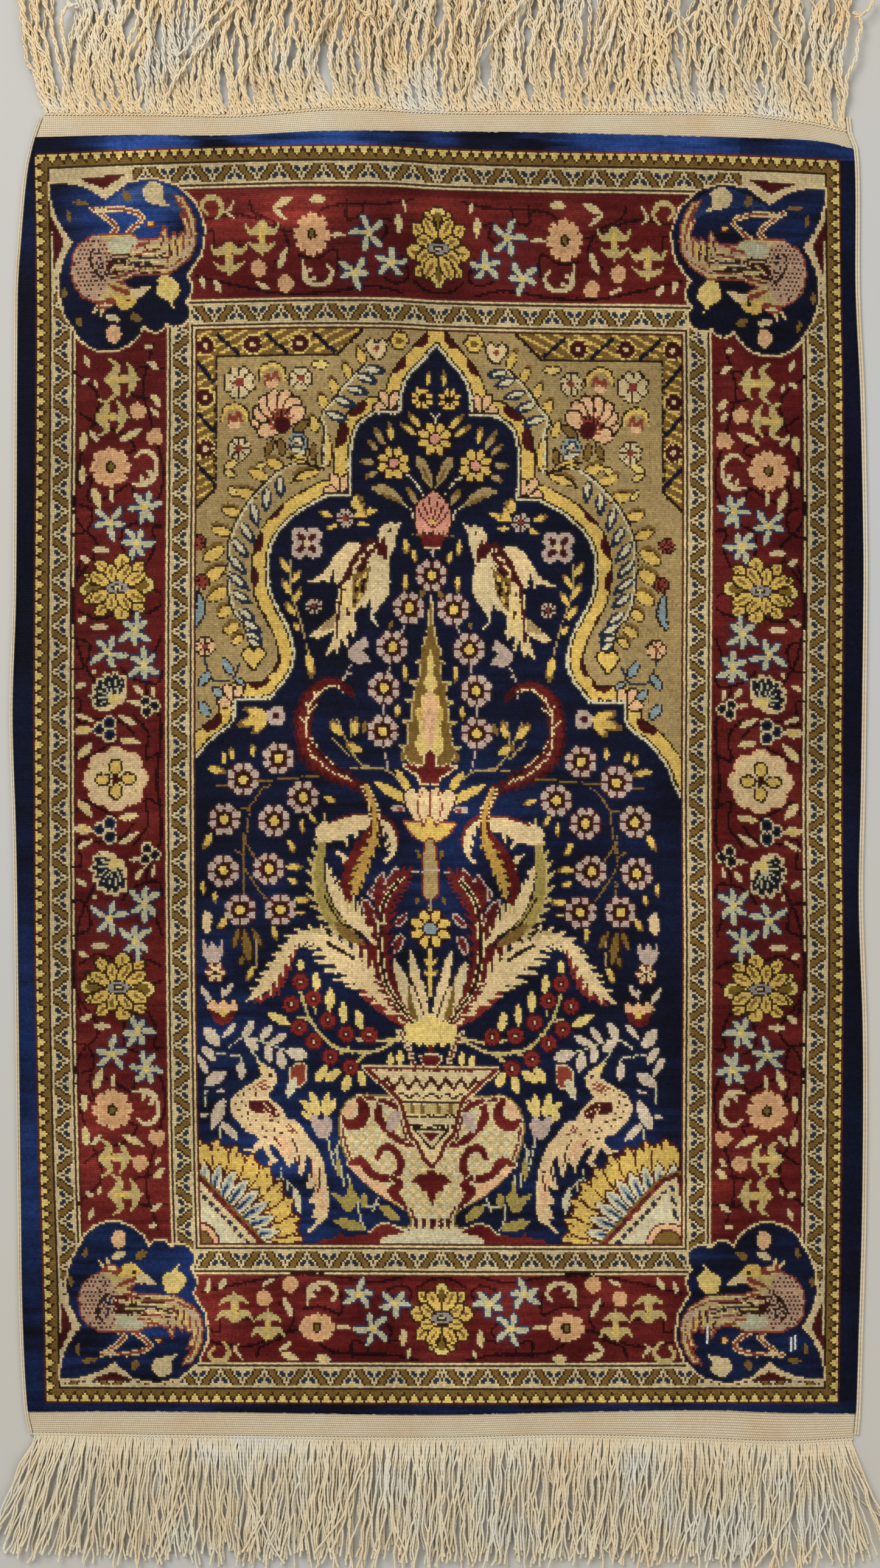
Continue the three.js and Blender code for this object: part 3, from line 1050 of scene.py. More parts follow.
def petal_lines(hand, a, d, reach, width, silk):
    """Four lines that cross at a flower's heart."""
    for i in range(4):
        angle = i * math.pi / 4
        u, v = reach * math.cos(angle), reach * math.sin(angle)
        hand.stem(((a - u, d - v), (a + u, d + v)), width, silk)


def field_rosette(hand, a, d, radius=26.0):
    """Eight pale cleft petals, apart from each other, round a dark ring and a yellow heart."""
    hand.fill(blossom(a, d, radius * 1.05, 8, 0.2, 22.5), "maroon", over=("navy",))
    for turn in np.arange(22.5, 360, 45):
        u, v = math.cos(math.radians(turn)), math.sin(math.radians(turn))
        hand.oval(a + radius * 0.79 * u, d + radius * 0.79 * v, radius * 0.23, radius * 0.27, "pearl", turn)
    petal_lines(hand, a, d, radius, 3.0, "maroon")
    hand.oval(a, d, radius * 0.56, radius * 0.58, "maroon")
    hand.oval(a, d, radius * 0.44, radius * 0.46, "dark")
    hand.oval(a, d, radius * 0.28, radius * 0.30, "yellow")


def yellow_rosette(hand, a, d, radius, heart="rose"):
    """Eight broad yellow petals with wine red lines between them and round them."""
    hand.blossom(a, d, radius * 1.13, 8, "wine", 0.2, 22.5)
    for i in range(8):
        angle = (i + 0.5) * math.pi / 4
        u, v = a + radius * 0.68 * math.cos(angle), d + radius * 0.68 * math.sin(angle)
        hand.oval(u, v, radius * 0.36, radius * 0.24, "yellow", math.degrees(angle))
    petal_lines(hand, a, d, radius * 0.85, radius * 0.1, "wine")
    hand.oval(a, d, radius * 0.42, radius * 0.42, "wine")
    hand.oval(a, d, radius * 0.3, radius * 0.3, heart)


def two_tone_leaves(hand, rows, tip, root):
    """Leaves whose tips are of another silk than their roots, one a row: two places and the width."""
    for u, v, root_u, root_v, width in rows:
        hand.leaf(((u, v), (root_u, root_v)), width, tip, 0.55)
        inner = (u * 0.65 + root_u * 0.35, v * 0.65 + root_v * 0.35)
        hand.leaf((inner, (root_u, root_v)), width * 0.85, root, 0.4)


def outlined_rosette(hand, a, d, radius, silk="ivory"):
    """Eight petals with dark outlines on the light ground, and a red heart."""
    hand.blossom(a, d, radius + 3, 8, "dark", 0.22, 22.5)
    hand.blossom(a, d, radius, 8, silk, 0.22, 22.5)
    petal_lines(hand, a, d, radius, 2.4, "dark")
    hand.oval(a, d, radius * 0.3, radius * 0.3, "rust")


def frame_band(cartoon):
    """The gold band round the light corners, with small maroon rosettes between slanted bars."""
    hand = sheet_of(cartoon)
    corners = ((420, -10), (124, -10), (124, 4), (167, 44), (366, 44), (366, 262), (396, 292), (420, 292))
    hand.patch(corners, "dark", False)
    corners = (
        (420, -10), (124, -10), (132, 4), (169, 40.5), (369.5, 40.5), (369.5, 259), (398, 286), (420, 286),
    )
    band = patch(hand.at(*corners), False)
    hand.fill(band, "gold")
    cartoon.texture(band, lambda a, d, depth: [("yellow", ((a - 2 * d) % 31 < 10) & (depth > 2))])
    for a, d, tip_a, tip_d in (
        (363, 8, 332, 38), (284, 8, 251, 38), (206, 8, 173, 37), (397, 52, 372, 84), (396, 136, 371, 166),
        (396, 220, 371, 250),
    ):
        hand.stem(((a, d), (tip_a, tip_d)), 7, "navy")
    for a, d in ((384, 25), (307, 24), (229, 24), (385, 110), (384, 194)):
        hand.blossom(a, d, 15.5, 8, "maroon", 0.25, 22.5, rim="lemon", rim_width=2.6)
        hand.oval(a, d, 4.5, 4.5, "cream")


# The arch's line from its point down to where it meets the side, in pieces between its corners
ARCH = (
    ((4, 24), (26, 50), (50, 78), (61, 106), (63, 139)),
    ((63, 139), (107, 139)),
    ((107, 139), (134, 162), (145, 212), (144, 276)),
    ((144, 276), (184, 276)),
    ((184, 276), (236, 307), (274, 356), (275, 428), (242, 498), (238, 554), (274, 607)),
    ((274, 607), (332, 608)),
    ((332, 608), (336, 644), (374, 676), (402, 712), (412, 740)),
)
ARCH_PATCHES = (
    (18, 4, 33, 28),
    (53, 46, 78, 73),
    (117, 123, 147, 144),
    (150, 158, 165, 197),
    (202, 250, 246, 273),
    (253, 285, 284, 316),
    (287, 334, 304, 372),
    (302, 390, 301, 424),
    (291, 460, 282, 492),
    (265, 520, 265, 564),
    (276, 577, 310, 587),
    (352, 636, 382, 660),
)
# The blue leaves with pale hearts that stand along the arch, one a row: their two ends on the half sheet
ARCH_LEAVES = (
    (122, 64, 92, 69),
    (136, 75, 105, 87),
    (154, 96, 120, 105),
    (172, 114, 140, 126),
    (188, 137, 154, 149),
    (263, 240, 260, 274),
    (283, 259, 284, 296),
    (308, 284, 298, 320),
    (325, 315, 306, 348),
    (339, 341, 315, 372),
    (344, 370, 318, 398),
    (346, 398, 315, 424),
    (339, 427, 311, 448),
    (328, 457, 304, 476),
    (322, 477, 292, 495),
    (315, 498, 292, 508),
    (311, 508, 293, 519),
)
# The yellow flames outside them, with dark upper edges and a brown shade
FLAMES = (
    (244, 212, 216, 214, 10),
    (284, 217, 254, 228, 13),
    (311, 233, 280, 245, 13),
    (335, 264, 296, 274, 14),
    (356, 295, 325, 303, 13),
    (373, 324, 339, 336, 12),
    (385, 377, 352, 357, 16),
    (385, 412, 351, 388, 16),
    (377, 443, 347, 426, 16),
    (361, 470, 337, 453, 13),
    (351, 496, 328, 484, 12),
    (337, 515, 320, 501, 10),
    (240, 246, 196, 233, 11),
    (134, 30, 124, 58, 11),
    (156, 58, 146, 82, 11),
    (178, 82, 168, 108, 11),
    (196, 110, 184, 133, 13),
    (210, 144, 202, 170, 11),
    (186, 170, 182, 226, 11),
)
# The thin dark lines that the blue leaves grow from
TWIGS = (
    (
        (196, 229), (237, 220), (265, 233), (299, 264), (323, 295), (337, 322), (346, 353), (348, 398),
        (344, 440), (334, 467), (320, 484), (310, 520),
    ),
    (
        (192, 228), (192, 196), (190, 164), (196, 148), (190, 132), (176, 118), (158, 92), (136, 70),
        (122, 58),
    ),
    ((224, 128), (222, 184), (206, 210), (204, 222), (192, 230)), ((202, 228), (224, 216), (250, 210)),
    ((244, 254), (232, 240), (214, 231), (188, 230)),
)


def arch_line():
    """The whole arch as one line of points."""
    return np.vstack([spine(piece, 6) for piece in ARCH])


def lay_arch(cartoon):
    """The light ground of the upper corners, and the arch with its yellow band."""
    hand = sheet_of(cartoon)
    hand.patch(((500, -20), (-40, -20), (-40, 800), (500, 800)), "camel", False)
    inside = patch([*arch_line(), (440, 790), (440, 1700), (-60, 1700), (-60, 24)], False)
    for by, silk in ((29, "dark"), (26, "yellow")):
        hand.fill(grown(inside, by), silk)
    for a, d, tip_a, tip_d in ARCH_PATCHES:
        long = math.hypot(tip_a - a, tip_d - d) / 4.5
        out_a, out_d = (tip_d - d) / long, (a - tip_a) / long
        place = ((a + out_a, d + out_d), (tip_a + out_a, tip_d + out_d))
        hand.leaf(place, 23, "maroon", 0.5, over=("yellow",))
    return inside


def pink_palmette(hand):
    """A fan of pink petals with dark outlines round a maroon heart."""
    petals = ((-172, 48), (-150, 52), (-128, 56), (-106, 58), (-84, 56), (-62, 50), (-40, 42), (-196, 38))
    for angle, reach in petals:
        turn = math.radians(angle)
        tip = (reach * math.cos(turn), reach * math.sin(turn))
        hand.leaf(((0, 0), tip), 24, "peach", 0.7, rim="dark")
    for angle, reach in petals:
        turn = math.radians(angle)
        hand.leaf(((0, 0), (reach * 0.6 * math.cos(turn), reach * 0.6 * math.sin(turn))), 5, "rust", 0.6)
    hand.patch(((-15, -6), (-6, -14), (6, -12), (14, -4), (10, 10), (0, 16), (-10, 9)), "maroon")


def arc_flower(hand):
    """A small flower under a yellow arc."""
    hand.band(((-20, 4), (-15, -14), (2, -20), (18, -10), (21, 6)), (2, 4.5, 4.5, 4.5, 2), "yellow")
    hand.band(((-22, 5), (-18, -17), (2, -24), (21, -13), (24, 6)), (1.5, 1.5, 1.5, 1.5, 1.5), "dark")
    hand.stem(((-10, 12), (-8, -4), (0, 6), (6, -8), (12, 6)), 5, "rust")
    hand.oval(0, 12, 10, 6, "peach")


def step_flower(hand):
    """The small flower on each step of the arch: three pink petals with dark outlines, and a red foot."""
    hand.patch(((-4, 16), (15, 17), (17, 0), (6, 3)), "crimson", False, rim="dark", rim_width=2.6)
    for tip_u, tip_v, width in ((-19, 10, 16), (-9, -16, 14), (15, -15, 13)):
        hand.leaf(((7, 11), (tip_u, tip_v)), width, "peach", 0.7, rim="dark", rim_width=3)


def lay_spandrel(cartoon):
    """Flowers and leaves on the light ground beside the arch."""
    hand = sheet_of(cartoon)
    for a, d, tip_a, tip_d, width in FLAMES:
        hand.leaf(((a + 3, d - 7), (tip_a + 2, tip_d - 7)), width + 3, "gold", 0.5)
    for a, d, tip_a, tip_d, width in FLAMES:
        hand.leaf(((a, d - 2), (tip_a, tip_d - 2)), width, "brown", 0.5)
        hand.leaf(((a, d), (tip_a, tip_d)), width + 2, "yellow", 0.5, rim="brown", rim_width=2)
    for line in TWIGS[:2]:
        hand.stem([(a - 4, d + 1) for a, d in line], 3.4, "pale")
    for a, d, tip_a, tip_d in ARCH_LEAVES:
        end_a, end_d = tip_a + 0.16 * (tip_a - a), tip_d + 0.16 * (tip_d - d)
        heart_end = (end_a + 0.24 * (a - end_a), end_d + 0.24 * (d - end_d))
        hand.leaf(((a, d), (end_a, end_d)), 17.5, "teal", 0.45)
        hand.leaf(((a - 1, d + 1), heart_end), 8, "pale", 0.45)
    for line in TWIGS:
        hand.stem(line, 3.2, "dark")
    for a, d, radius in ((329, 86, 25), (228, 82, 18), (329, 195, 18)):
        outlined_rosette(hand, a, d, radius)
    arc_flower(Hand(cartoon, 275, 78))
    arc_flower(Hand(cartoon, 337, 144))
    pink_palmette(Hand(cartoon, 258, 158))
    lay_leaves(
        hand, "gold",
        (
            (240, 172, 216, 150, 13), (262, 180, 256, 208, 12), (272, 182, 286, 206, 10),
            (208, 214, 206, 190, 10),
        ),
        rim="dark", rim_width=2.4,
    )
    hand.fill(ring(disc(232, 186, 15), 0, 4), "sky", rim="dark", rim_width=2)
    lay_leaves(hand, "pale", ((244, 196, 220, 204, 9), (226, 188, 238, 178, 8)), rim="teal", rim_width=2.2)
    lay_leaves(
        hand, "lemon",
        (
            (210, 59, 182, 59, 12), (352, 226, 332, 216, 12), (352, 230, 336, 240, 10),
            (300, 226, 286, 222, 9), (344, 258, 334, 272, 9),
        ),
        rim="brown", rim_width=2.4,
    )
    hand.patch(
        ((86, 26), (94, 18), (103, 25), (112, 18), (121, 28), (112, 42), (103, 50), (92, 42)), "cream",
        rim="dark",
    )
    hand.oval(103, 32, 4, 5, "rust")
    hand.blossom(66, 18, 14, 6, "yellow", 0.2, rim="brown")
    hand.oval(66, 18, 6, 6, "olive")
    hand.patch(
        ((286, 534), (294, 522), (302, 528), (312, 522), (320, 534), (312, 548), (302, 556)), "yellow",
        rim="dark",
    )
    hand.leaf(((398, 486), (390, 458), (394, 430)), 12, "sky", 0.5, rim="dark")
    for a, d, radius, silk in ((383, 519, 15, "peach"), (395, 348, 12, "rust"), (388, 412, 11, "rust")):
        outlined_rosette(hand, a, d, radius, silk)
    hand.stem(((384, 536), (372, 572), (340, 574), (326, 548)), 3.2, "teal")
    lay_leaves(
        hand, "sky",
        (
            (352, 540, 340, 564, 13), (376, 560, 392, 584, 12), (368, 586, 352, 606, 12),
            (392, 610, 376, 632, 13), (330, 572, 318, 588, 9),
        ),
        rim="dark", rim_width=2.4,
    )
    for a, d in ((340, 600), (87, 119), (167, 256)):
        step_flower(Hand(cartoon, a, d))


def upper_bird(hand):
    """A pale bird with spread wings that looks up to the arch's point."""
    wing = (
        (45, 730), (180, 650), (250, 540), (300, 465), (400, 390), (470, 395), (500, 430), (420, 560),
        (370, 660), (330, 745), (275, 745), (262, 620), (235, 690), (215, 765), (205, 715), (60, 738),
    )
    hand.patch(wing, "cream", False)
    tail = (
        (340, 690), (300, 820), (285, 1000), (200, 1070), (60, 1190), (120, 1225), (270, 1150), (240, 1240),
        (185, 1395), (270, 1300), (295, 1350), (335, 1200), (365, 1295), (385, 1280), (375, 1190),
        (400, 1150), (440, 1215), (455, 1130), (440, 1000), (500, 940), (545, 905), (500, 640), (420, 640),
    )
    hand.patch(tail, "cream", False)
    hand.patch(((285, 1000), (200, 1070), (130, 1150), (270, 1130)), "camel", False)
    for u in (345, 380, 415):
        hand.stem(((u, 760), (u - 12, 1140)), 12, "lemon")
    breast = (
        (620, 400), (650, 290), (690, 235), (740, 222), (790, 230), (850, 205), (800, 300), (785, 410),
        (745, 500), (728, 560), (745, 660), (745, 790), (700, 890), (650, 940), (605, 1010), (590, 960),
        (570, 960), (575, 870), (530, 960), (480, 920), (440, 940), (430, 740), (520, 600),
    )
    hand.patch(breast, "ivory", False)
    hand.stem(((590, 980), (600, 1050), (650, 1110)), 20, "pale")
    hand.band(((570, 420), (480, 540), (400, 650), (335, 745)), (58, 62, 40, 14), "maroon")
    hand.stem(((335, 730), (325, 880), (300, 1040), (290, 1210)), 24, "maroon")
    for line in (
        ((590, 425), (520, 500), (470, 570), (440, 660)), ((560, 440), (490, 520), (440, 600), (430, 640)),
    ):
        for u, v in line:
            hand.leaf(((u + 14, v - 24), (u - 14, v + 24)), 22, "cream")
    hand.patch(
        ((420, 700), (470, 650), (560, 600), (590, 570), (560, 690), (540, 800), (480, 900), (430, 940)),
        "gold",
    )
    for u, v, tip_u, tip_v in (
        (470, 660, 560, 560), (450, 740, 480, 690), (500, 740, 560, 680), (440, 820, 470, 760),
        (480, 850, 540, 780), (430, 910, 460, 880), (500, 800, 520, 720),
    ):
        hand.leaf(((u, v), (tip_u, tip_v)), 30, "dark")
    for u, v, tip_u, tip_v in ((450, 790, 490, 700), (470, 880, 500, 820), (520, 700, 540, 650)):
        hand.leaf(((u, v), (tip_u, tip_v)), 26, "yellow")
    for u, v in ((370, 805), (380, 970), (385, 1005)):
        hand.oval(u, v, 14, 14, "maroon")
    hand.patch(
        (
            (615, 400), (640, 330), (655, 400), (690, 330), (705, 400), (725, 430), (725, 520), (705, 560),
            (680, 510), (630, 490),
        ),
        "maroon", False,
    )
    hand.oval(740, 290, 16, 16, "dark")


def arch_blossoms(hand):
    """What fills the niche's point: five rosettes, the leaves round them and the palmette below."""
    two_tone_leaves(
        hand,
        (
            (482, 22, 478, 118, 26), (362, 262, 440, 348, 40), (318, 322, 412, 388, 34),
            (264, 325, 282, 425, 38), (120, 728, 72, 808, 36),
        ),
        "gold", "yellow",
    )
    two_tone_leaves(
        hand,
        (
            (180, 345, 240, 455, 38), (145, 422, 208, 488, 32), (95, 540, 190, 546, 38),
            (128, 632, 204, 598, 34), (362, 670, 420, 768, 38),
        ),
        "gold", "camel",
    )
    hand.leaf(((205, 806), (70, 838)), 44, "yellow", 0.5)
    hand.leaf(((90, 888), (160, 886)), 24, "yellow", 0.5)
    hand.saw(((423, 505), (455, 570), (505, 682)), 62, 3, "camel", 0.4, 0.5)
    hand.leaf(((440, 540), (500, 672)), 18, "gold", 0.5)
    hand.saw(((165, 686), (250, 700), (352, 776)), 66, 3, "camel", 0.35, 0.5)
    hand.leaf(((210, 708), (340, 765)), 24, "gold", 0.5)
    for line in (
        ((492, 262), (514, 290), (515, 312)), ((364, 612), (400, 636), (452, 712)),
        ((352, 776), (386, 800), (400, 850)),
    ):
        hand.stem(line, 9, "pale")
    for u, v, radius, heart in ((445, 188, 58, "dark"), (515, 405, 88, "rose"), (290, 547, 88, "rose")):
        yellow_rosette(hand, u, v, radius, heart)
    hand.patch(
        (
            (515, 690), (470, 722), (430, 760), (412, 820), (418, 890), (440, 925), (600, 925), (615, 820),
            (560, 722),
        ),
        "rose", rim="wine", rim_width=3,
    )
    for tip_u, tip_v, root_v in (
        (426, 800, 900), (446, 752, 880), (482, 724, 862), (515, 706, 845), (548, 724, 862),
        (584, 752, 880), (604, 800, 900),
    ):
        hand.stem(
            ((515, root_v), ((515 + tip_u) / 2, (root_v + tip_v) / 2 + 14), (tip_u, tip_v)), 9, "crimson",
        )
    hand.patch(
        ((434, 930), (598, 930), (572, 1000), (458, 1000)), "crimson", False, rim="dark", rim_width=2.4,
    )
    hand.stem(((515, 872), (515, 985)), 24, "crimson")
    hand.leaf(((482, 862), (548, 862)), 26, "yellow", 0.5)
    hand.stem(((396, 938), (440, 932), (452, 905)), 10, "gold")
    hand.stem(((634, 938), (590, 932), (578, 905)), 10, "gold")
    hand.stem(((462, 1006), (568, 1006)), 9, "cream")


def upper_field(cartoon):
    """The flowers under the arch and the slim tree on the middle line."""
    hand = sheet_of(cartoon)
    arch_blossoms(Hand(cartoon, 162.5, 55, wide=0.3, high=0.3))
    outlined_rosette(hand, 154, 311, 15, "pearl")
    lay_leaves(
        hand, "yellow",
        (
            (136, 308, 116, 298, 9), (134, 302, 124, 284, 9), (176, 308, 196, 300, 11),
            (144, 292, 134, 270, 9), (168, 322, 186, 330, 9),
        ),
    )
    for i in range(4):
        angle = math.radians(45 + 90 * i)
        hand.oval(217 + 17 * math.cos(angle), 351 + 17 * math.sin(angle), 13.5, 13.5, "pearl")
    for i in range(4):
        angle = math.radians(45 + 90 * i)
        hand.leaf(((217, 351), (217 + 21 * math.cos(angle), 351 + 21 * math.sin(angle))), 11, "maroon", 0.6)
    hand.oval(217, 351, 6, 6, "ivory")
    upper_bird(Hand(cartoon, 222.5, 275, wide=0.1914, high=0.1914))
    hand.stem(((244, 380), (242, 430), (226, 480), (214, 530)), 3, "camel")
    lay_leaves(
        hand, "yellow",
        (
            (244, 400, 262, 374, 11), (242, 436, 258, 410, 11), (236, 470, 252, 446, 11),
            (242, 418, 226, 394, 10), (238, 448, 224, 424, 10), (228, 494, 238, 480, 9),
            (214, 530, 206, 576, 14), (55, 342, 54, 370, 10), (42, 360, 38, 382, 9), (55, 400, 55, 430, 9),
            (56, 548, 54, 578, 9), (66, 614, 68, 638, 9),
        ),
    )
    outlined_rosette(hand, 204, 455, 13, "pearl")
    hand.patch(
        ((120, 504), (114, 520), (124, 527), (112, 545), (130, 550), (146, 544), (147, 528), (136, 516)),
        "pearl", False,
    )
    for line in (
        ((12, 356), (12, 400)), ((12, 420), (12, 480)), ((49, 470), (62, 500)), ((76, 540), (84, 570)),
        ((90, 610), (91, 640)), ((91, 680), (82, 720)), ((140, 546), (154, 570), (158, 600)),
        ((152, 566), (142, 564)),
    ):
        hand.stem(line, 2.4, "pearl")
    for a, d in ((49, 456), (76, 521), (89, 589), (91, 659), (262, 704), (320, 736), (12, 401)):
        field_rosette(hand, a, d)
    lay_leaves(
        hand, "gold",
        ((24, 424, 30, 440, 8), (76, 478, 80, 490, 7), (118, 640, 124, 664, 9), (60, 690, 56, 710, 8)),
    )

    slim_tree(Hand(cartoon, 242.5, 495, wide=0.1913, high=0.1913))


# The slim tree's outline, from its tip down: how far down, and how far out of its middle line
TREE_EDGE = (
    (-250, 6), (-150, 12), (-60, 14), (-50, 24), (50, 24), (50, 45), (115, 45), (115, 76), (256, 76),
    (256, 120), (272, 82), (350, 88), (430, 100), (430, 175), (450, 128), (590, 140), (590, 205),
    (615, 150), (770, 160), (770, 225), (790, 182), (980, 195), (980, 265), (1000, 225), (1060, 215),
    (1120, 180), (1150, 70),
)


def slim_tree(hand):
    """A slim barbed tree on the middle line, lighter to its heart, in a red cup."""
    middle = 1202
    edge = [(middle - out, down) for down, out in TREE_EDGE]
    edge += [(middle + out, down) for down, out in TREE_EDGE[::-1]]
    tree = patch(hand.at(*edge), False)
    hand.fill(tree, "gold", rim="straw", rim_width=2.6)
    hand.cartoon.texture(tree, lambda a, d, depth: [
        ("olive", (np.sin(d * 0.16) + np.sin(a * 0.33 + d * 0.07) > 0.3) & (depth > 3)),
    ])
    hand.band(
        (
            (middle, 150), (middle, 300), (middle, 380), (middle, 440), (middle, 540), (middle, 700),
            (middle, 860), (middle, 960), (middle, 1030),
        ),
        (10, 40, 34, 66, 80, 96, 100, 128, 60), "lemon",
    )
    for side in (-1, 1):
        hand.oval(middle + side * 95, 700, 34, 60, "yellow")
        hand.oval(middle + side * 60, 500, 24, 46, "gold")
        hand.oval(middle + side * 40, 330, 16, 40, "gold")
    hand.band(
        ((middle, 530), (middle, 600), (middle, 760), (middle, 880), (middle, 960)), (30, 62, 66, 60, 30),
        "peach",
    )
    cup = [
        (1190, 1005), (1235, 1040), (1245, 1140), (1290, 1160), (1330, 1135), (1420, 1150), (1360, 1190),
        (1290, 1230), (1270, 1290),
    ]
    cup_middle = 1195
    cup = [*cup, *[(2 * cup_middle - u, v) for u, v in cup[::-1]]]
    hand.patch(cup, "crimson", False, rim="cream", rim_width=3)


def feathered(points, halves, barbs, reach=1.25, sides=(1, -1), slim=0.62):
    """A long leaf with pointed barbs along its edges that lean to its tip."""
    line = spine(points, 12)
    t = np.linspace(0, 1, len(line))
    halves = np.interp(t, np.linspace(0, 1, len(halves)), halves)
    parts = [ribbon(line, halves * 0.74)]
    for place in np.linspace(0.04, 0.94, barbs):
        i = int(place * (len(line) - 2))
        along = (line[i + 1] - line[i]) / np.hypot(*(line[i + 1] - line[i]))
        for side in sides:
            out = np.array((-along[1], along[0])) * side
            start = line[i] + halves[i] * (0.3 * out - 0.5 * along)
            tip = line[i] + halves[i] * reach * out + (halves[i] * 0.55 + 5) * along
            parts.append(leaf((start, tip), max(6.0, halves[i] * slim), 0.35))
    return joined(*parts)


def red_curl(hand):
    """A ragged red curl with dotted lines along it."""
    curl = (
        (555, 590), (520, 530), (460, 480), (380, 445), (290, 455), (210, 520), (150, 610), (115, 720),
        (100, 830), (120, 950), (170, 1060), (270, 1160), (400, 1235), (540, 1310), (640, 1370),
        (690, 1470),
    )
    halves = (6, 24, 34, 36, 48, 60, 74, 72, 66, 74, 84, 84, 70, 50, 24, 10)
    halves = [half * hand.size for half in halves]
    hand.fill(feathered(hand.at(*curl), halves, 26, 1.2), "maroon")
    hand.fill(feathered(hand.at(*curl[2:14]), [half * 0.62 for half in halves[2:14]], 18, 1.2), "crimson")
    for line in (
        (
            (440, 485), (330, 480), (250, 530), (190, 600), (150, 690), (140, 800), (140, 900), (170, 1040),
            (230, 1110), (330, 1190), (440, 1250), (540, 1290),
        ),
        ((180, 930), (240, 1030), (320, 1110), (420, 1190), (500, 1260)),
    ):
        for place in spine(hand.at(*line))[:-1:2]:
            hand.fill(disc(*place, 2.2), "cream")
    for line in (
        ((210, 520), (205, 590)), ((130, 610), (155, 690)), ((230, 640), (170, 690)),
        ((80, 740), (130, 800)),
    ):
        hand.stem(line, 14, "cream")
    hand.stem(((200, 980), (290, 1090), (400, 1180), (470, 1230)), 15, "dark")


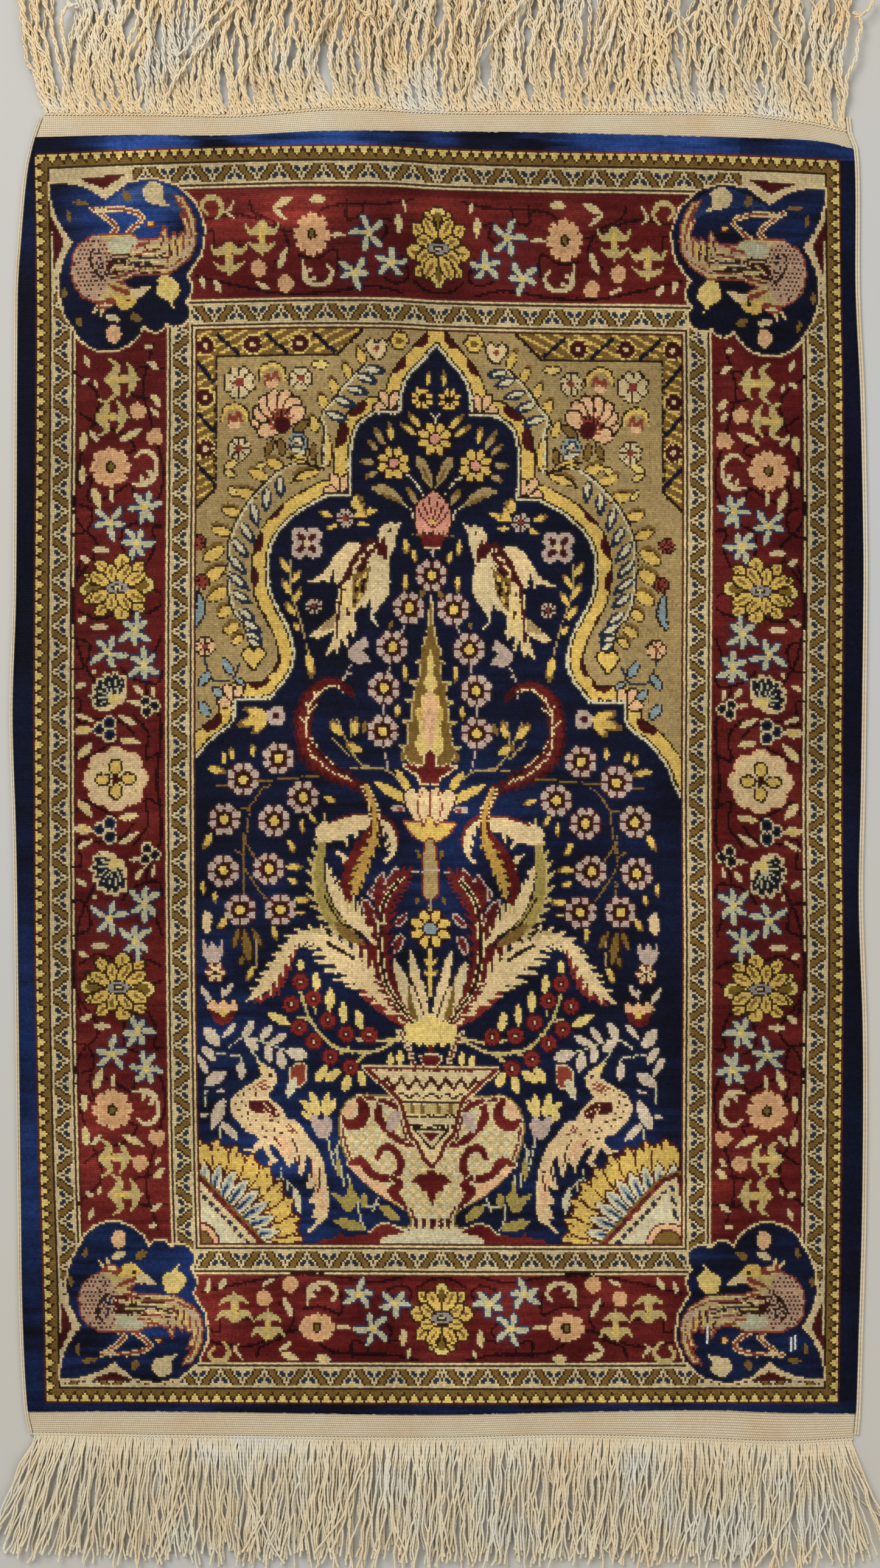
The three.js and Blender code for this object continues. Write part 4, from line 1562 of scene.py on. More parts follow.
def long_leaves(hand):
    """The two long barbed leaves of each side, and the red feathery stalk between them."""
    def plume(silk, points, halves, barbs, reach=1.5, sides=(1, -1)):
        halves = [half * hand.size for half in halves]
        hand.fill(feathered(hand.at(*points), halves, barbs, reach, sides, 0.42), silk)

    # The lower leaf: its red edges, then its body, its shading and its slit
    plume(
        "crimson", ((1290, 1930), (1170, 1730), (1060, 1590), (980, 1460), (930, 1330), (820, 1200)),
        (10, 60, 84, 88, 60, 16), 12, 1.3,
    )
    plume("brick", ((1300, 1965), (1120, 1850), (990, 1750), (880, 1660)), (10, 44, 50, 40), 10, 1.3, (-1,))
    plume(
        "brick", ((350, 1250), (290, 1340), (255, 1450), (205, 1560), (140, 1650), (-20, 1745)),
        (20, 34, 36, 40, 34, 10), 9, 1.3,
    )
    plume(
        "cream",
        (
            (1290, 1940), (1120, 1780), (980, 1630), (840, 1490), (710, 1360), (580, 1245), (450, 1195),
            (320, 1235), (230, 1360), (150, 1495), (60, 1615), (-80, 1730),
        ),
        (14, 50, 80, 118, 126, 92, 58, 48, 58, 62, 56, 10), 19, 1.6,
    )
    hand.leaf(((610, 1190), (500, 1150), (410, 1160)), 34, "straw", 0.5)
    for u, v in ((190, 1330), (130, 1430), (80, 1530), (700, 1500), (760, 1590), (600, 1400)):
        hand.leaf(((u, v), (u + 60, v - 20)), 16, "straw", 0.5)

    # The upper leaf: the olive half with its pale barbs, the cream half and the curl at its top
    plume(
        "straw",
        ((880, 1250), (740, 1170), (640, 1070), (560, 930), (522, 770), (525, 600), (555, 430), (575, 200)),
        (10, 50, 64, 64, 66, 60, 38, 5), 13, 1.7, (1,),
    )
    outer = (
        (880, 1250), (750, 1165), (650, 1065), (575, 930), (535, 770), (535, 600), (560, 430), (575, 240),
    )
    hand.band(outer, (8, 52, 58, 50, 40, 38, 26, 4), "moss")
    hand.leaf(((900, 1265), (760, 1180), (640, 1070)), 84, "gold", 0.5)
    plume(
        "cream", ((1010, 1290), (900, 1150), (800, 1050), (720, 950), (660, 850), (615, 750), (590, 600)),
        (10, 52, 78, 76, 56, 38, 8), 10, 1.6, (-1,),
    )
    hand.band(((585, 350), (680, 325), (790, 280), (945, 255)), (86, 84, 76, 56), "cream")
    for points, width in (
        (((780, 320), (830, 350), (815, 410)), 40), (((690, 390), (740, 410), (775, 470)), 40),
        (((860, 300), (900, 330)), 30),
    ):
        hand.leaf(points, width, "cream", 0.35)
    hand.stem(((612, 272), (700, 236), (800, 206), (935, 200)), 20, "crimson")
    hand.leaf(((665, 510), (720, 540), (750, 600), (745, 665)), 46, "cream", 0.5)
    hand.stem(((570, 870), (640, 990), (700, 1080), (790, 1130), (890, 1185)), 17, "dark")
    hand.stem(((555, 1115), (625, 1200)), 17, "dark")
    hand.stem(((600, 1255), (700, 1310), (800, 1375)), 32, "dark")

    # The small red and yellow leaf, and the cream one beside it, both from the dotted stem
    plume(
        "crimson", ((975, 300), (900, 410), (820, 540), (765, 680), (745, 810), (785, 930)),
        (14, 44, 58, 56, 46, 12), 5, 1.1,
    )
    plume(
        "ochre", ((990, 320), (965, 440), (905, 560), (870, 660), (830, 760), (815, 870)),
        (24, 42, 42, 40, 34, 8), 8, 1.6,
    )
    for u in (760, 790, 840):
        hand.leaf(((u, 890), (u - 4, 1010)), 16, "straw", 0.5)
    hand.stem(((1030, 208), (1110, 250), (1160, 340), (1166, 440)), 24, "crimson")
    plume(
        "cream", ((1030, 250), (1095, 310), (1130, 410), (1130, 500), (1070, 600)), (18, 40, 38, 28, 6), 5,
        1.8, (-1,),
    )
    hand.stem(((905, -20), (960, 120), (985, 230), (985, 340)), 84, "maroon")
    hand.stem(((915, -20), (970, 120), (988, 230), (985, 400)), 40, "ochre")
    for points in (((880, -20), (935, 110), (950, 230)), ((935, -20), (1000, 110), (1022, 230))):
        for place in spine(hand.at(*points))[::2]:
            hand.fill(disc(*place, 2.2), "cream")

    # The feathery stalk: its side leaves with pale rims, its red barbs, its dark line and two pale ones
    for points, width in (
        (((1010, 1290), (950, 1120), (930, 980), (870, 890)), 90),
        (((1040, 940), (1010, 830), (1050, 680)), 92), (((1000, 900), (960, 850), (950, 810)), 44),
        (((1100, 800), (1120, 740), (1165, 640)), 66), (((1150, 1330), (1170, 1240), (1200, 1190)), 60),
        (((1150, 1100), (1200, 1060), (1240, 1010)), 44),
    ):
        hand.saw(points, width, 5, "crimson", 0.5, rim="pearl", rim_width=2.6, over=("navy",))
    stalk = (
        (1300, 1920), (1240, 1840), (1170, 1740), (1090, 1620), (1050, 1500), (1022, 1300), (1030, 1100),
        (1055, 930), (1130, 800), (1200, 715), (1270, 630),
    )
    plume("crimson", [(u + 16, v) for u, v in stalk], (14, 56, 64, 68, 62, 60, 66, 68, 62, 46, 12), 22, 1.6)
    for shift, silk, width in ((0, "dark", 26), (-21, "cream", 10), (21, "cream", 10)):
        hand.stem([(u + shift, v) for u, v in stalk[:-1]], width, silk)
    hand.stem(((1000, 1095), (1075, 1095)), 12, "cream")


def middle_field(cartoon):
    """The feathery stems, the rosette clusters and the long leaves that rise from the vase."""
    hand = sheet_of(cartoon)
    red_curl(Hand(cartoon, 242.5, 495, wide=0.1913, high=0.1913))
    for points in (
        ((120, 720), (144, 690), (166, 640)), ((146, 690), (142, 640)), ((146, 700), (172, 672)),
        ((112, 716), (148, 722)),
    ):
        hand.stem(points, 2.6, "camel")
    lay_leaves(
        hand, "yellow", ((158, 666, 178, 642, 15), (138, 668, 134, 636, 12), (126, 692, 152, 680, 14)),
    )
    hand.patch(((256, 618), (274, 622), (283, 634), (274, 648), (258, 650), (252, 634)), "pearl")
    hand.oval(266, 634, 6, 6, "maroon")
    lay_leaves(
        hand, "yellow", ((280, 634, 332, 650, 18), (282, 632, 320, 622, 16), (282, 640, 306, 664, 14)),
    )
    lay_leaves(
        hand, "yellow",
        (
            (379, 719, 345, 726, 12), (351, 712, 352, 690, 10), (337, 706, 340, 686, 10),
            (304, 700, 303, 680, 9), (188, 768, 167, 776, 9), (212, 794, 200, 812, 8),
            (224, 803, 223, 830, 7), (371, 824, 385, 852, 12), (247, 836, 236, 860, 10),
            (251, 882, 222, 883, 12), (247, 902, 230, 910, 9), (237, 936, 210, 936, 12),
            (233, 957, 219, 958, 6), (271, 978, 268, 1003, 10), (349, 964, 362, 984, 11),
            (366, 922, 368, 941, 8), (387, 903, 386, 928, 8), (304, 1043, 316, 1070, 11),
        ),
    )
    for points in (
        ((367, 749), (300, 742), (184, 732)), ((320, 826), (319, 930)),
        ((310, 786), (313, 812), (318, 850)), ((312, 788), (290, 756), (276, 748)),
        ((318, 840), (300, 868)), ((318, 884), (300, 912), (284, 934)), ((336, 852), (322, 862)),
        ((310, 786), (326, 784)),
    ):
        hand.stem(points, 2.8, "gold")
    for a, d in (
        (320, 738), (222, 768), (351, 803), (269.5, 806), (353, 888), (278.5, 885), (326, 952), (260, 952),
    ):
        field_rosette(hand, a, d)
    lay_leaves(
        hand, "gold",
        (
            (320, 984, 311, 1040, 14), (328, 982, 338, 1014, 9), (306, 984, 290, 1012, 9),
            (322, 1026, 325, 1044, 8),
        ),
        rim="brown", rim_width=2.2,
    )
    hand.stem(((300, 1000), (300, 1046)), 2.6, "camel")

    hand.leaf(((39, 778), (107, 743)), 16, "yellow", 0.5)
    hand.leaf(((41, 764), (71, 720)), 14, "yellow", 0.5)
    hand.stem(((130, 722), (92, 720), (60, 740)), 2.8, "camel")
    hand.oval(66, 786, 12, 6, "pearl")
    hand.oval(62, 786, 5, 3.4, "rust")
    hand.patch(
        (
            (-26, 762), (-14, 752), (-4, 760), (4, 748), (15, 756), (26, 748), (34, 760), (44, 752),
            (56, 764), (46, 790), (32, 806), (-2, 806), (-16, 790),
        ),
        "skin", rim="brown", rim_width=2,
    )
    for u in (0, 12):
        hand.stem(((15 + u, 758), (15 + u * 1.6, 780), (15 + u, 806)), 2.4, "rust")
    hand.patch(
        (
            (-26, 808), (-2, 806), (6, 816), (15, 796), (24, 816), (32, 806), (56, 808), (42, 828),
            (26, 838), (4, 838), (-12, 828),
        ),
        "yellow", False, rim="rust", rim_width=2.6,
    )
    hand.band(((15, 842), (15, 880), (15, 920)), (6, 11, 11), "camel", rim="crimson", rim_width=3.4)
    hand.stem(((49, 888), (15, 886)), 3, "pearl")
    hand.stem(((15, 920), (15, 952)), 3.4, "camel")
    lay_leaves(hand, "olive", ((36, 850, 30, 866, 6), (38, 940, 34, 930, 8)))

    long_leaves(Hand(cartoon, 302.5, 755, wide=0.2013, high=0.2013))
    yellow_rosette(hand, 15, 982, 31, "sky")
    hand.stem(((15, 1014), (15, 1090)), 4.5, "yellow")
    lay_leaves(hand, "yellow", ((15, 1040, 26, 1030, 7), (15, 1060, 26, 1050, 7)))
    hand.saw(((30, 1140), (52, 1092), (74, 1032)), 25, 7, "ivory", 0.4, 0.5)
    hand.saw(((20, 1140), (32, 1090), (48, 1014)), 22, 7, "cream", 0.4, 0.5)
    hand.leaf(((34, 1136), (46, 1110), (52, 1068)), 10, "olive")
    hand.stem(((22, 1136), (40, 1080), (58, 1048)), 2.8, "brown")
    hand.patch(
        (
            (-28, 1142), (-12, 1136), (4, 1130), (15, 1120), (26, 1130), (42, 1136), (58, 1142), (54, 1160),
            (50, 1174), (42, 1166), (34, 1178), (26, 1168), (15, 1180), (4, 1168), (-20, 1170),
        ),
        "lemon", False,
    )


def berry(hand, a, d, radius=13.0):
    """A small round red flower with a pale heart."""
    hand.blossom(a, d, radius, 8, "brick", 0.2, 22.5, rim="maroon", rim_width=2.4)
    hand.oval(a, d, radius * 0.45, radius * 0.45, "maroon")
    hand.oval(a, d, 2.4, 2.4, "ivory")


def lower_field(cartoon):
    """Berry sprays, leafy sprays, the two long-tailed birds, small flowers and the corner fans."""
    hand = sheet_of(cartoon)
    for points in (
        ((66, 1164), (113, 1185), (172, 1177), (210, 1136), (228, 1088)),
        ((60, 1160), (110, 1168), (150, 1160)), ((180, 1172), (200, 1156), (212, 1160)),
        ((210, 1134), (232, 1128)), ((204, 1120), (206, 1100)), ((150, 1180), (172, 1192)),
        ((120, 1186), (140, 1206)),
    ):
        hand.stem(points, 5, "straw")
    for a, d in (
        (228, 1070), (244, 1107), (207, 1098), (184, 1134), (231, 1145), (207, 1168), (153, 1156),
        (115, 1158), (180, 1194), (147, 1210),
    ):
        berry(hand, a, d)
    lay_leaves(
        hand, "lemon",
        (
            (228, 1053, 227, 1033, 12), (202, 1086, 202, 1055, 13), (180, 1119, 179, 1080, 15),
            (158, 1140, 157, 1103, 13), (128, 1150, 135, 1115, 14), (246, 1140, 282, 1121, 15),
            (185, 1207, 203, 1235, 15), (163, 1215, 189, 1232, 15), (150, 1222, 156, 1251, 15),
            (133, 1216, 124, 1242, 14), (82, 1208, 81, 1188, 11), (64, 1206, 66, 1183, 12),
        ),
    )
    line = ((66, 1151), (50, 1180), (42, 1208))
    hand.stem(line, 9, "ivory")
    for place in spine(line)[1::2]:
        hand.fill(disc(*place, 3), "crimson")
    hand.stem(((15, 1176), (15, 1200)), 6, "crimson")
    hand.patch(
        ((-2, 1192), (15, 1188), (32, 1192), (24, 1206), (6, 1206)), "crimson", False, rim="ivory",
        rim_width=2.6,
    )

    for points in (
        ((345, 1176), (322, 1162), (292, 1168), (262, 1180), (240, 1186)),
        ((368, 1188), (330, 1192), (326, 1206)), ((384, 1232), (386, 1274)), ((362, 1306), (364, 1326)),
        ((318, 1168), (300, 1196), (286, 1210)),
    ):
        hand.stem(points, 3, "sage")
    lay_leaves(
        hand, "shell",
        (
            (362, 1175, 386, 1145, 20), (322, 1164, 306, 1133, 15), (357, 1162, 333, 1136, 10),
            (321, 1161, 297, 1181, 15), (295, 1167, 276, 1141, 13), (283, 1174, 250, 1156, 13),
            (283, 1171, 280, 1202, 14), (263, 1182, 258, 1216, 16), (250, 1184, 217, 1193, 20),
            (390, 1174, 369, 1201, 15), (397, 1190, 381, 1222, 12), (385, 1238, 353, 1218, 20),
            (373, 1249, 350, 1247, 5), (327, 1199, 325, 1230, 14), (355, 1261, 377, 1312, 20),
            (361, 1300, 334, 1329, 14), (382, 1286, 396, 1292, 8), (392, 1075, 374, 1106, 10),
            (338, 1071, 353, 1093, 9), (356, 1078, 354, 1098, 6),
        ),
    )
    hand.patch(
        ((222, 1208), (236, 1206), (246, 1218), (242, 1236), (228, 1240), (221, 1226)), "rust", rim="ivory",
        rim_width=3,
    )
    hand.leaf(((236, 1227), (253, 1262)), 15, "pale")
    hand.leaf(((370, 966), (386, 952)), 6, "pearl")
    hand.oval(381, 972, 8, 17, "skin")
    hand.patch(
        (
            (386, 1000), (380, 1016), (372, 1004), (362, 1016), (356, 998), (354, 1022), (364, 1038),
            (378, 1038), (388, 1020),
        ),
        "pearl",
    )
    hand.blossom(367, 1054, 18, 6, "crimson", 0.25)
    for i in range(6):
        angle = math.radians(60 * i)
        hand.leaf(((367, 1054), (367 + 17 * math.cos(angle), 1054 + 17 * math.sin(angle))), 7, "cream", 0.7)
    hand.oval(367, 1054, 3.4, 3.4, "dark")
    hand.patch(
        (
            (382, 1112), (370, 1100), (362, 1108), (354, 1098), (346, 1108), (336, 1100), (332, 1116),
            (344, 1124), (366, 1124),
        ),
        "peach", rim="dark", rim_width=2,
    )
    hand.patch(((380, 1114), (356, 1122), (334, 1116), (342, 1134), (356, 1140), (370, 1134)), "crimson")
    hand.oval(355, 1120, 6, 8, "yellow")

    lay_leaves(
        hand, "lemon",
        (
            (198, 1290, 213, 1248, 14), (202, 1288, 231, 1263, 13), (192, 1290, 183, 1250, 13),
            (190, 1292, 171, 1261, 13), (205, 1298, 227, 1284, 12),
        ),
    )
    hand.patch(
        (
            (214, 1296), (206, 1288), (196, 1296), (186, 1288), (178, 1300), (180, 1318), (190, 1326),
            (204, 1322),
        ),
        "pearl",
    )
    for points in (
        ((186, 1326), (178, 1362), (168, 1392)), ((176, 1352), (164, 1330)), ((160, 1404), (164, 1372)),
        ((172, 1340), (170, 1362)), ((150, 1400), (152, 1386)), ((136, 1432), (134, 1458), (126, 1476)),
        ((128, 1440), (102, 1436)), ((112, 1446), (104, 1424)),
    ):
        hand.stem(points, 3, "sage")
    hand.leaf(((168, 1392), (168, 1356)), 9, "moss")
    hand.patch(
        (
            (180, 1417), (168, 1419), (158, 1424), (152, 1407), (148, 1396), (144, 1413), (136, 1424),
            (143, 1440), (153, 1448), (165, 1438),
        ),
        "moss",
    )
    lay_leaves(
        hand, "moss", ((128, 1440, 126, 1416, 13), (101, 1436, 68, 1462, 17), (177, 1462, 126, 1475, 18)),
    )
    lower_bird(Hand(cartoon, 392.5, 1195, wide=0.2041, high=0.2041))
    corner_fan(cartoon)


# The lower bird's outline, from its beak round by the back and the tail to the legs and the breast
LOWER_BIRD = (
    (480, 58), (540, 70), (592, 98), (612, 150), (600, 210), (570, 262), (535, 298), (560, 330), (610, 370),
    (650, 420), (690, 490), (740, 490), (790, 535), (850, 620), (900, 680), (950, 765), (980, 850),
    (1000, 950), (1015, 1100), (1010, 1250), (985, 1300), (920, 1342), (870, 1392), (835, 1412),
    (830, 1388), (890, 1340), (915, 1290), (868, 1275), (900, 1200), (912, 1170), (850, 1172), (865, 1125),
    (905, 1080), (912, 1000), (885, 1045), (838, 1045), (845, 980), (868, 930), (862, 800), (838, 780),
    (822, 900), (790, 958), (778, 920), (770, 850), (745, 790), (738, 850), (712, 850), (690, 925),
    (682, 850), (655, 800), (620, 750), (590, 705), (540, 700), (560, 760), (602, 820), (540, 880),
    (500, 935), (463, 915), (530, 845), (545, 820), (510, 765), (490, 705), (440, 745), (400, 805),
    (384, 808), (390, 752), (335, 742), (340, 728), (400, 728), (462, 660), (440, 622), (370, 600),
    (320, 545), (258, 480), (233, 410), (240, 330), (275, 285), (340, 240), (400, 200), (460, 172),
    (492, 140), (482, 95),
)


def lower_bird(hand):
    """A long-tailed bird with a speckled breast and a red wing."""
    body = patch(hand.at(*LOWER_BIRD), False)
    hand.fill(body, "skin")
    for u, v, tip_u, tip_v, width in ((600, 620, 720, 800, 90), (900, 900, 975, 1250, 60)):
        hand.leaf(((u, v), (tip_u, tip_v)), width, "peach", 0.5, over=("skin",))
    hand.patch(((470, 60), (430, 20), (455, 22), (540, 68), (535, 95), (480, 112)), "lemon", False)
    hand.oval(557, 136, 20, 16, "brown")
    for u, v, tip_u, tip_v in ((415, 238, 520, 178), (440, 246, 545, 200), (480, 258, 550, 232)):
        hand.stem(((u, v), (tip_u, tip_v)), 15, "rust")
    for u, v in (
        (295, 305), (345, 290), (385, 255), (440, 292), (275, 365), (330, 345), (300, 415), (355, 388),
        (325, 468), (370, 440), (372, 484), (392, 540), (440, 500), (488, 560), (520, 590), (585, 578),
        (505, 640), (560, 500), (618, 528), (645, 600), (440, 440), (420, 400),
    ):
        hand.oval(u, v, 13, 9, "brown")
    hand.patch(
        (
            (385, 345), (480, 335), (545, 350), (600, 400), (632, 465), (560, 490), (520, 450), (440, 435),
            (388, 430),
        ),
        "maroon", False,
    )
    for u, v in (
        (500, 370), (530, 400), (560, 420), (520, 440), (560, 460), (595, 440), (500, 410), (480, 470),
    ):
        hand.leaf(((u - 12, v - 16), (u + 16, v + 18)), 13, "peach", 0.5)
    for u, v, tip_u, tip_v in (
        (670, 540, 700, 590), (700, 530, 730, 580), (720, 560, 765, 605), (690, 580, 740, 600),
    ):
        hand.stem(((u, v), (tip_u, tip_v)), 12, "rust")
    for points in (
        ((875, 815), (882, 900), (872, 985)), ((945, 885), (948, 980), (928, 1075)),
        ((720, 648), (755, 700), (772, 770), (785, 865)), ((585, 640), (640, 715)),
    ):
        hand.stem(points, 14, "maroon")
    hand.leaf(((740, 1040), (780, 1250)), 66, "pale", 0.45)
    hand.stem(((625, 890), (632, 950), (600, 980)), 14, "sage")
    hand.stem(((632, 960), (690, 1000), (735, 1045)), 14, "sage")
    hand.stem(((680, 1000), (678, 1060)), 14, "sage")


def corner_fan(cartoon):
    """Yellow and blue petals fanned out from the lower corner of the field."""
    hand = sheet_of(cartoon)
    a0, d0 = 402.0, 1500.0

    def out(reach, angle):
        turn = math.radians(angle)
        return a0 - reach * math.cos(turn), d0 - reach * math.sin(turn)

    for i in range(9):
        angle = 3 + i * 10.8
        petal = [
            leaf((out(62, angle), out(reach, angle + side)), 27, 0.74)
            for reach, side in ((166, -4.2), (174, 0), (166, 4.2))
        ]
        hand.fill(joined(*petal), "yellow", rim="maroon", rim_width=3)
    for i in range(9):
        angle = 3 + i * 10.8
        for side in (-2.1, 2.1):
            hand.stem((out(158, angle + side), out(172, angle + side)), 2.6, "maroon")
    for i in range(10):
        angle = -2 + i * 10.8
        hand.leaf((out(60, angle), out(136, angle)), 20, "pale", 0.6, rim="maroon", rim_width=2.6)
        hand.leaf((out(70, angle), out(126, angle)), 9, "sky", 0.6)
        hand.leaf((out(80, angle), out(116, angle)), 5, "navy", 0.5)
    inner = patch(hand.at((420, 1390), (398, 1398), (300, 1504), (300, 1530), (440, 1530)), False)
    hand.fill(grown(inner, 12), "olive")
    hand.fill(grown(inner, 8), "maroon")
    cartoon.texture(grown(inner, 8), lambda a, d, depth: [("crimson", (a - d) % 26 < 12)])
    hand.fill(inner, "ivory")
    cartoon.texture(
        inner,
        lambda a, d, depth: [
            ("teal", (depth > 8) & (depth < 15) & ((a - d) % 20 < 13)),
            ("pale", depth >= 18),
        ],
    )
    corner = disc(404, 1500, 34)
    hand.fill(corner, "peach", rim="maroon", rim_width=3)
    hand.fill(disc(404, 1500, 22), "gold", rim="maroon", rim_width=3)


def vase(cartoon):
    """The vase at the foot of the field: a broad funnel over a round latticed body on a spread foot."""
    hand = sheet_of(cartoon)
    body = patch(
        hand.at(
            (-60, 1262), (60, 1260), (96, 1258), (132, 1257), (155, 1272), (165, 1300), (161, 1336),
            (148, 1368), (124, 1398), (90, 1424), (58, 1442), (49, 1458), (50, 1470), (66, 1480),
            (-60, 1486),
        )
    )
    hand.fill(body, "ivory", rim="gold", rim_width=3)
    hand.fill(grown(body, -3), "crimson")
    hand.fill(grown(body, -7), "pale")
    cartoon.texture(grown(body, -7), lambda a, d, depth: [
        ("cream", ((a + d) % 34 < 17) == ((a - d) % 34 < 17)),
        ("straw", ((a + d) % 17 < 3.4) | ((a - d) % 17 < 3.4)),
    ])
    hand.patch(
        (
            (150, 1366), (128, 1378), (104, 1394), (78, 1412), (66, 1436), (92, 1424), (124, 1400),
            (146, 1378),
        ),
        "peach",
    )
    hand.patch(((158, 1306), (162, 1290), (150, 1270), (134, 1262), (140, 1280), (146, 1296)), "peach")
    for points, halves in (
        (
            (
                (104, 1359), (94, 1342), (78, 1344), (66, 1364), (71, 1386), (90, 1393), (114, 1384),
                (131, 1364), (150, 1368),
            ),
            (4, 6, 6, 6, 6, 6, 7, 8, 3),
        ),
        (((80, 1390), (66, 1402), (78, 1414), (58, 1440)), (4, 6, 9, 3)),
        (((132, 1262), (124, 1282), (132, 1300), (150, 1304), (160, 1294)), (5, 9, 10, 8, 3)),
        (((98, 1264), (101, 1292), (84, 1316), (62, 1332), (38, 1336)), (5, 7, 6, 6, 4)),
        (((98, 1264), (72, 1276), (58, 1306), (54, 1326)), (4, 5, 5, 4)),
    ):
        hand.band(points, halves, "crimson", rim="ivory", rim_width=2.2)
    hand.oval(77, 1298, 10, 19, "pearl", -24)
    flower = (
        (15, 1372), (23, 1384), (34, 1384), (47, 1397), (34, 1402), (31, 1413), (23, 1411), (15, 1437),
    )
    flower = patch([*flower, *[(30 - a, d) for a, d in flower[-2:0:-1]]], False)
    hand.fill(flower, "crimson", rim="straw", rim_width=2.2)

    funnel = patch(
        hand.at(
            (-93, 1211), (123, 1211), (66, 1264), (50, 1322), (38, 1334), (28, 1358), (15, 1374), (2, 1358),
            (-36, 1264),
        ),
        False,
    )
    hand.fill(grown(funnel, 5), "ivory")
    hand.fill(grown(funnel, 2.4), "crimson")
    hand.fill(grown(funnel, -4), "cream")
    cartoon.texture(grown(funnel, -4), lambda a, d, depth: [
        ("ivory", d < 1240),
        ("maroon", np.abs(d - 1236 + 9 * (np.abs((a - 15) % 24 - 12) / 6 - 1)) < 5),
        ("dark", np.abs(d - 1256 + 4 * (np.abs((a - 15) % 24 - 12) / 6 - 1)) < 2),
        ("dark", np.abs(d - 1267) < 1.8),
        ("straw", (d > 1270) & (d < 1286)),
        ("gold", (d > 1270) & (d < 1286) & ((a - 6) % 18 < 7)),
        ("dark", np.abs(d - 1289) < 1.8),
        ("ivory", (d > 1291) & (d < 1304)),
        ("dark", np.abs(d - 1306) < 1.8),
    ])
    hand.patch(((15, 1346), (45, 1310), (-15, 1310)), "dark", False)
    hand.patch(((15, 1340), (38, 1313), (-8, 1313)), "ivory", False)
    hand.patch(((15, 1332), (28, 1317), (2, 1317)), "crimson", False)
    hand.patch(((-40, 1456), (49, 1456), (49, 1474), (-40, 1474)), "ivory", False)
    for a in (15, 28, 41):
        hand.stem(((a, 1460), (a, 1470)), 7, "maroon")

    hand.patch(((-60, 1476), (60, 1476), (84, 1482), (118, 1504), (-60, 1504)), "pale", False)
    hand.patch(
        (
            (62, 1480), (80, 1470), (98, 1468), (112, 1476), (126, 1490), (130, 1504), (104, 1504),
            (98, 1490), (78, 1484),
        ),
        "crimson", rim="ivory", rim_width=3,
    )
    hand.band(((118, 1494), (150, 1493), (200, 1497)), (9, 6, 4), "crimson")
    hand.leaf(((166, 1498), (166, 1482)), 10, "crimson")


# How far the field's middle line stands left of the carpet's, at places down the field
AXIS_PLACES = (0, 150, 400, 650, 1500)
AXIS_OFFSETS = (4, 7, 12, 14, 14)
# Short stitches of white thread on the lower right medallion: the column, and the first and last row
STITCHES = ((340, 571, 580), (382, 577, 584), (384, 576, 583))


def draw_cartoon():
    """The whole design. The field is drawn about its own middle line, the rest about the carpet's."""
    cartoon = Cartoon()
    field = lay_bands(cartoon.silk)
    draw_borders(cartoon)
    for lower in (False, True):
        corner_medallion(cartoon, lower)
    cartoon.enter(field, AXIS_PLACES, AXIS_OFFSETS)
    niche = lay_arch(cartoon)
    lay_spandrel(cartoon)
    for by, silk in ((7.2, "dark"), (4.4, "pale"), (0, "navy")):
        cartoon.fill(grown(niche, by), silk)
    cartoon.enter(field)
    frame_band(cartoon)
    cartoon.enter(field, AXIS_PLACES, AXIS_OFFSETS)
    upper_field(cartoon)
    middle_field(cartoon)
    lower_field(cartoon)
    vase(cartoon)
    for column, first, last in STITCHES:
        cartoon.silk[first:last, column] = SILK["white"]
    return cartoon


# The carpet's own sizes, in metres
PILE_HIGH = 3.0 * MM
SHOULDER_DROP = 0.7 * MM
KILIM_HIGH = 1.3 * MM
CORD_WIDTHS = {"left": 1.9 * MM, "right": 2.5 * MM}
HEADING_WIDE = 2.2 * MM


def edge_of(table, column):
    """An edge of the outline all along, from its table."""
    places = np.linspace(table[0][0], table[-1][0], 200)
    return smooth_table(table, places, column)


def frame_shift():
    """From the outline tables' middle to the frame's, in millimetres."""
    low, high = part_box("carpet_body")
    left, right = edge_of(LEFT_SIDE, 1).min(), edge_of(RIGHT_SIDE, 1).max()
    foot, top = edge_of(LOWER_END, 2).min(), edge_of(UPPER_END, 2).max()
    return (
        (low.x + high.x) / 2 / MM - (left + right) / 2,
        (low.y + high.y) / 2 / MM - (foot + top) / 2,
    )


SHIFT = frame_shift()


def metres(x, y):
    """From the outline tables' millimetres to the frame's metres."""
    return (x + SHIFT[0]) * MM, (y + SHIFT[1]) * MM


def add_object(name, data):
    """A new object in the scene."""
    made = bpy.data.objects.new(name, data)
    bpy.context.scene.collection.objects.link(made)
    return made


# Nodes


def put(tree, kind, inputs=(), **settings):
    """Adds a node with its settings, and links or sets its inputs, by name or in their order."""
    node = tree.nodes.new(kind)
    for name, value in settings.items():
        setattr(node, name, value)
    for key, value in inputs.items() if isinstance(inputs, dict) else enumerate(inputs):
        if isinstance(value, bpy.types.NodeSocket):
            tree.links.new(value, node.inputs[key])
        elif value is not None:
            node.inputs[key].default_value = value
    return node


def maths(tree, operation, *values, clamp=False):
    return put(tree, "ShaderNodeMath", values, operation=operation, use_clamp=clamp).outputs[0]


def vector(tree, operation, *values):
    return put(tree, "ShaderNodeVectorMath", values, operation=operation).outputs[0]


def scaled(tree, value, factor):
    """A vector or a colour times a factor that varies."""
    node = put(tree, "ShaderNodeVectorMath", (value,), operation="SCALE")
    tree.links.new(factor, node.inputs["Scale"])
    return node.outputs[0]


def apart(tree, socket):
    return put(tree, "ShaderNodeSeparateXYZ", (socket,)).outputs


def together(tree, *values):
    return put(tree, "ShaderNodeCombineXYZ", values).outputs[0]


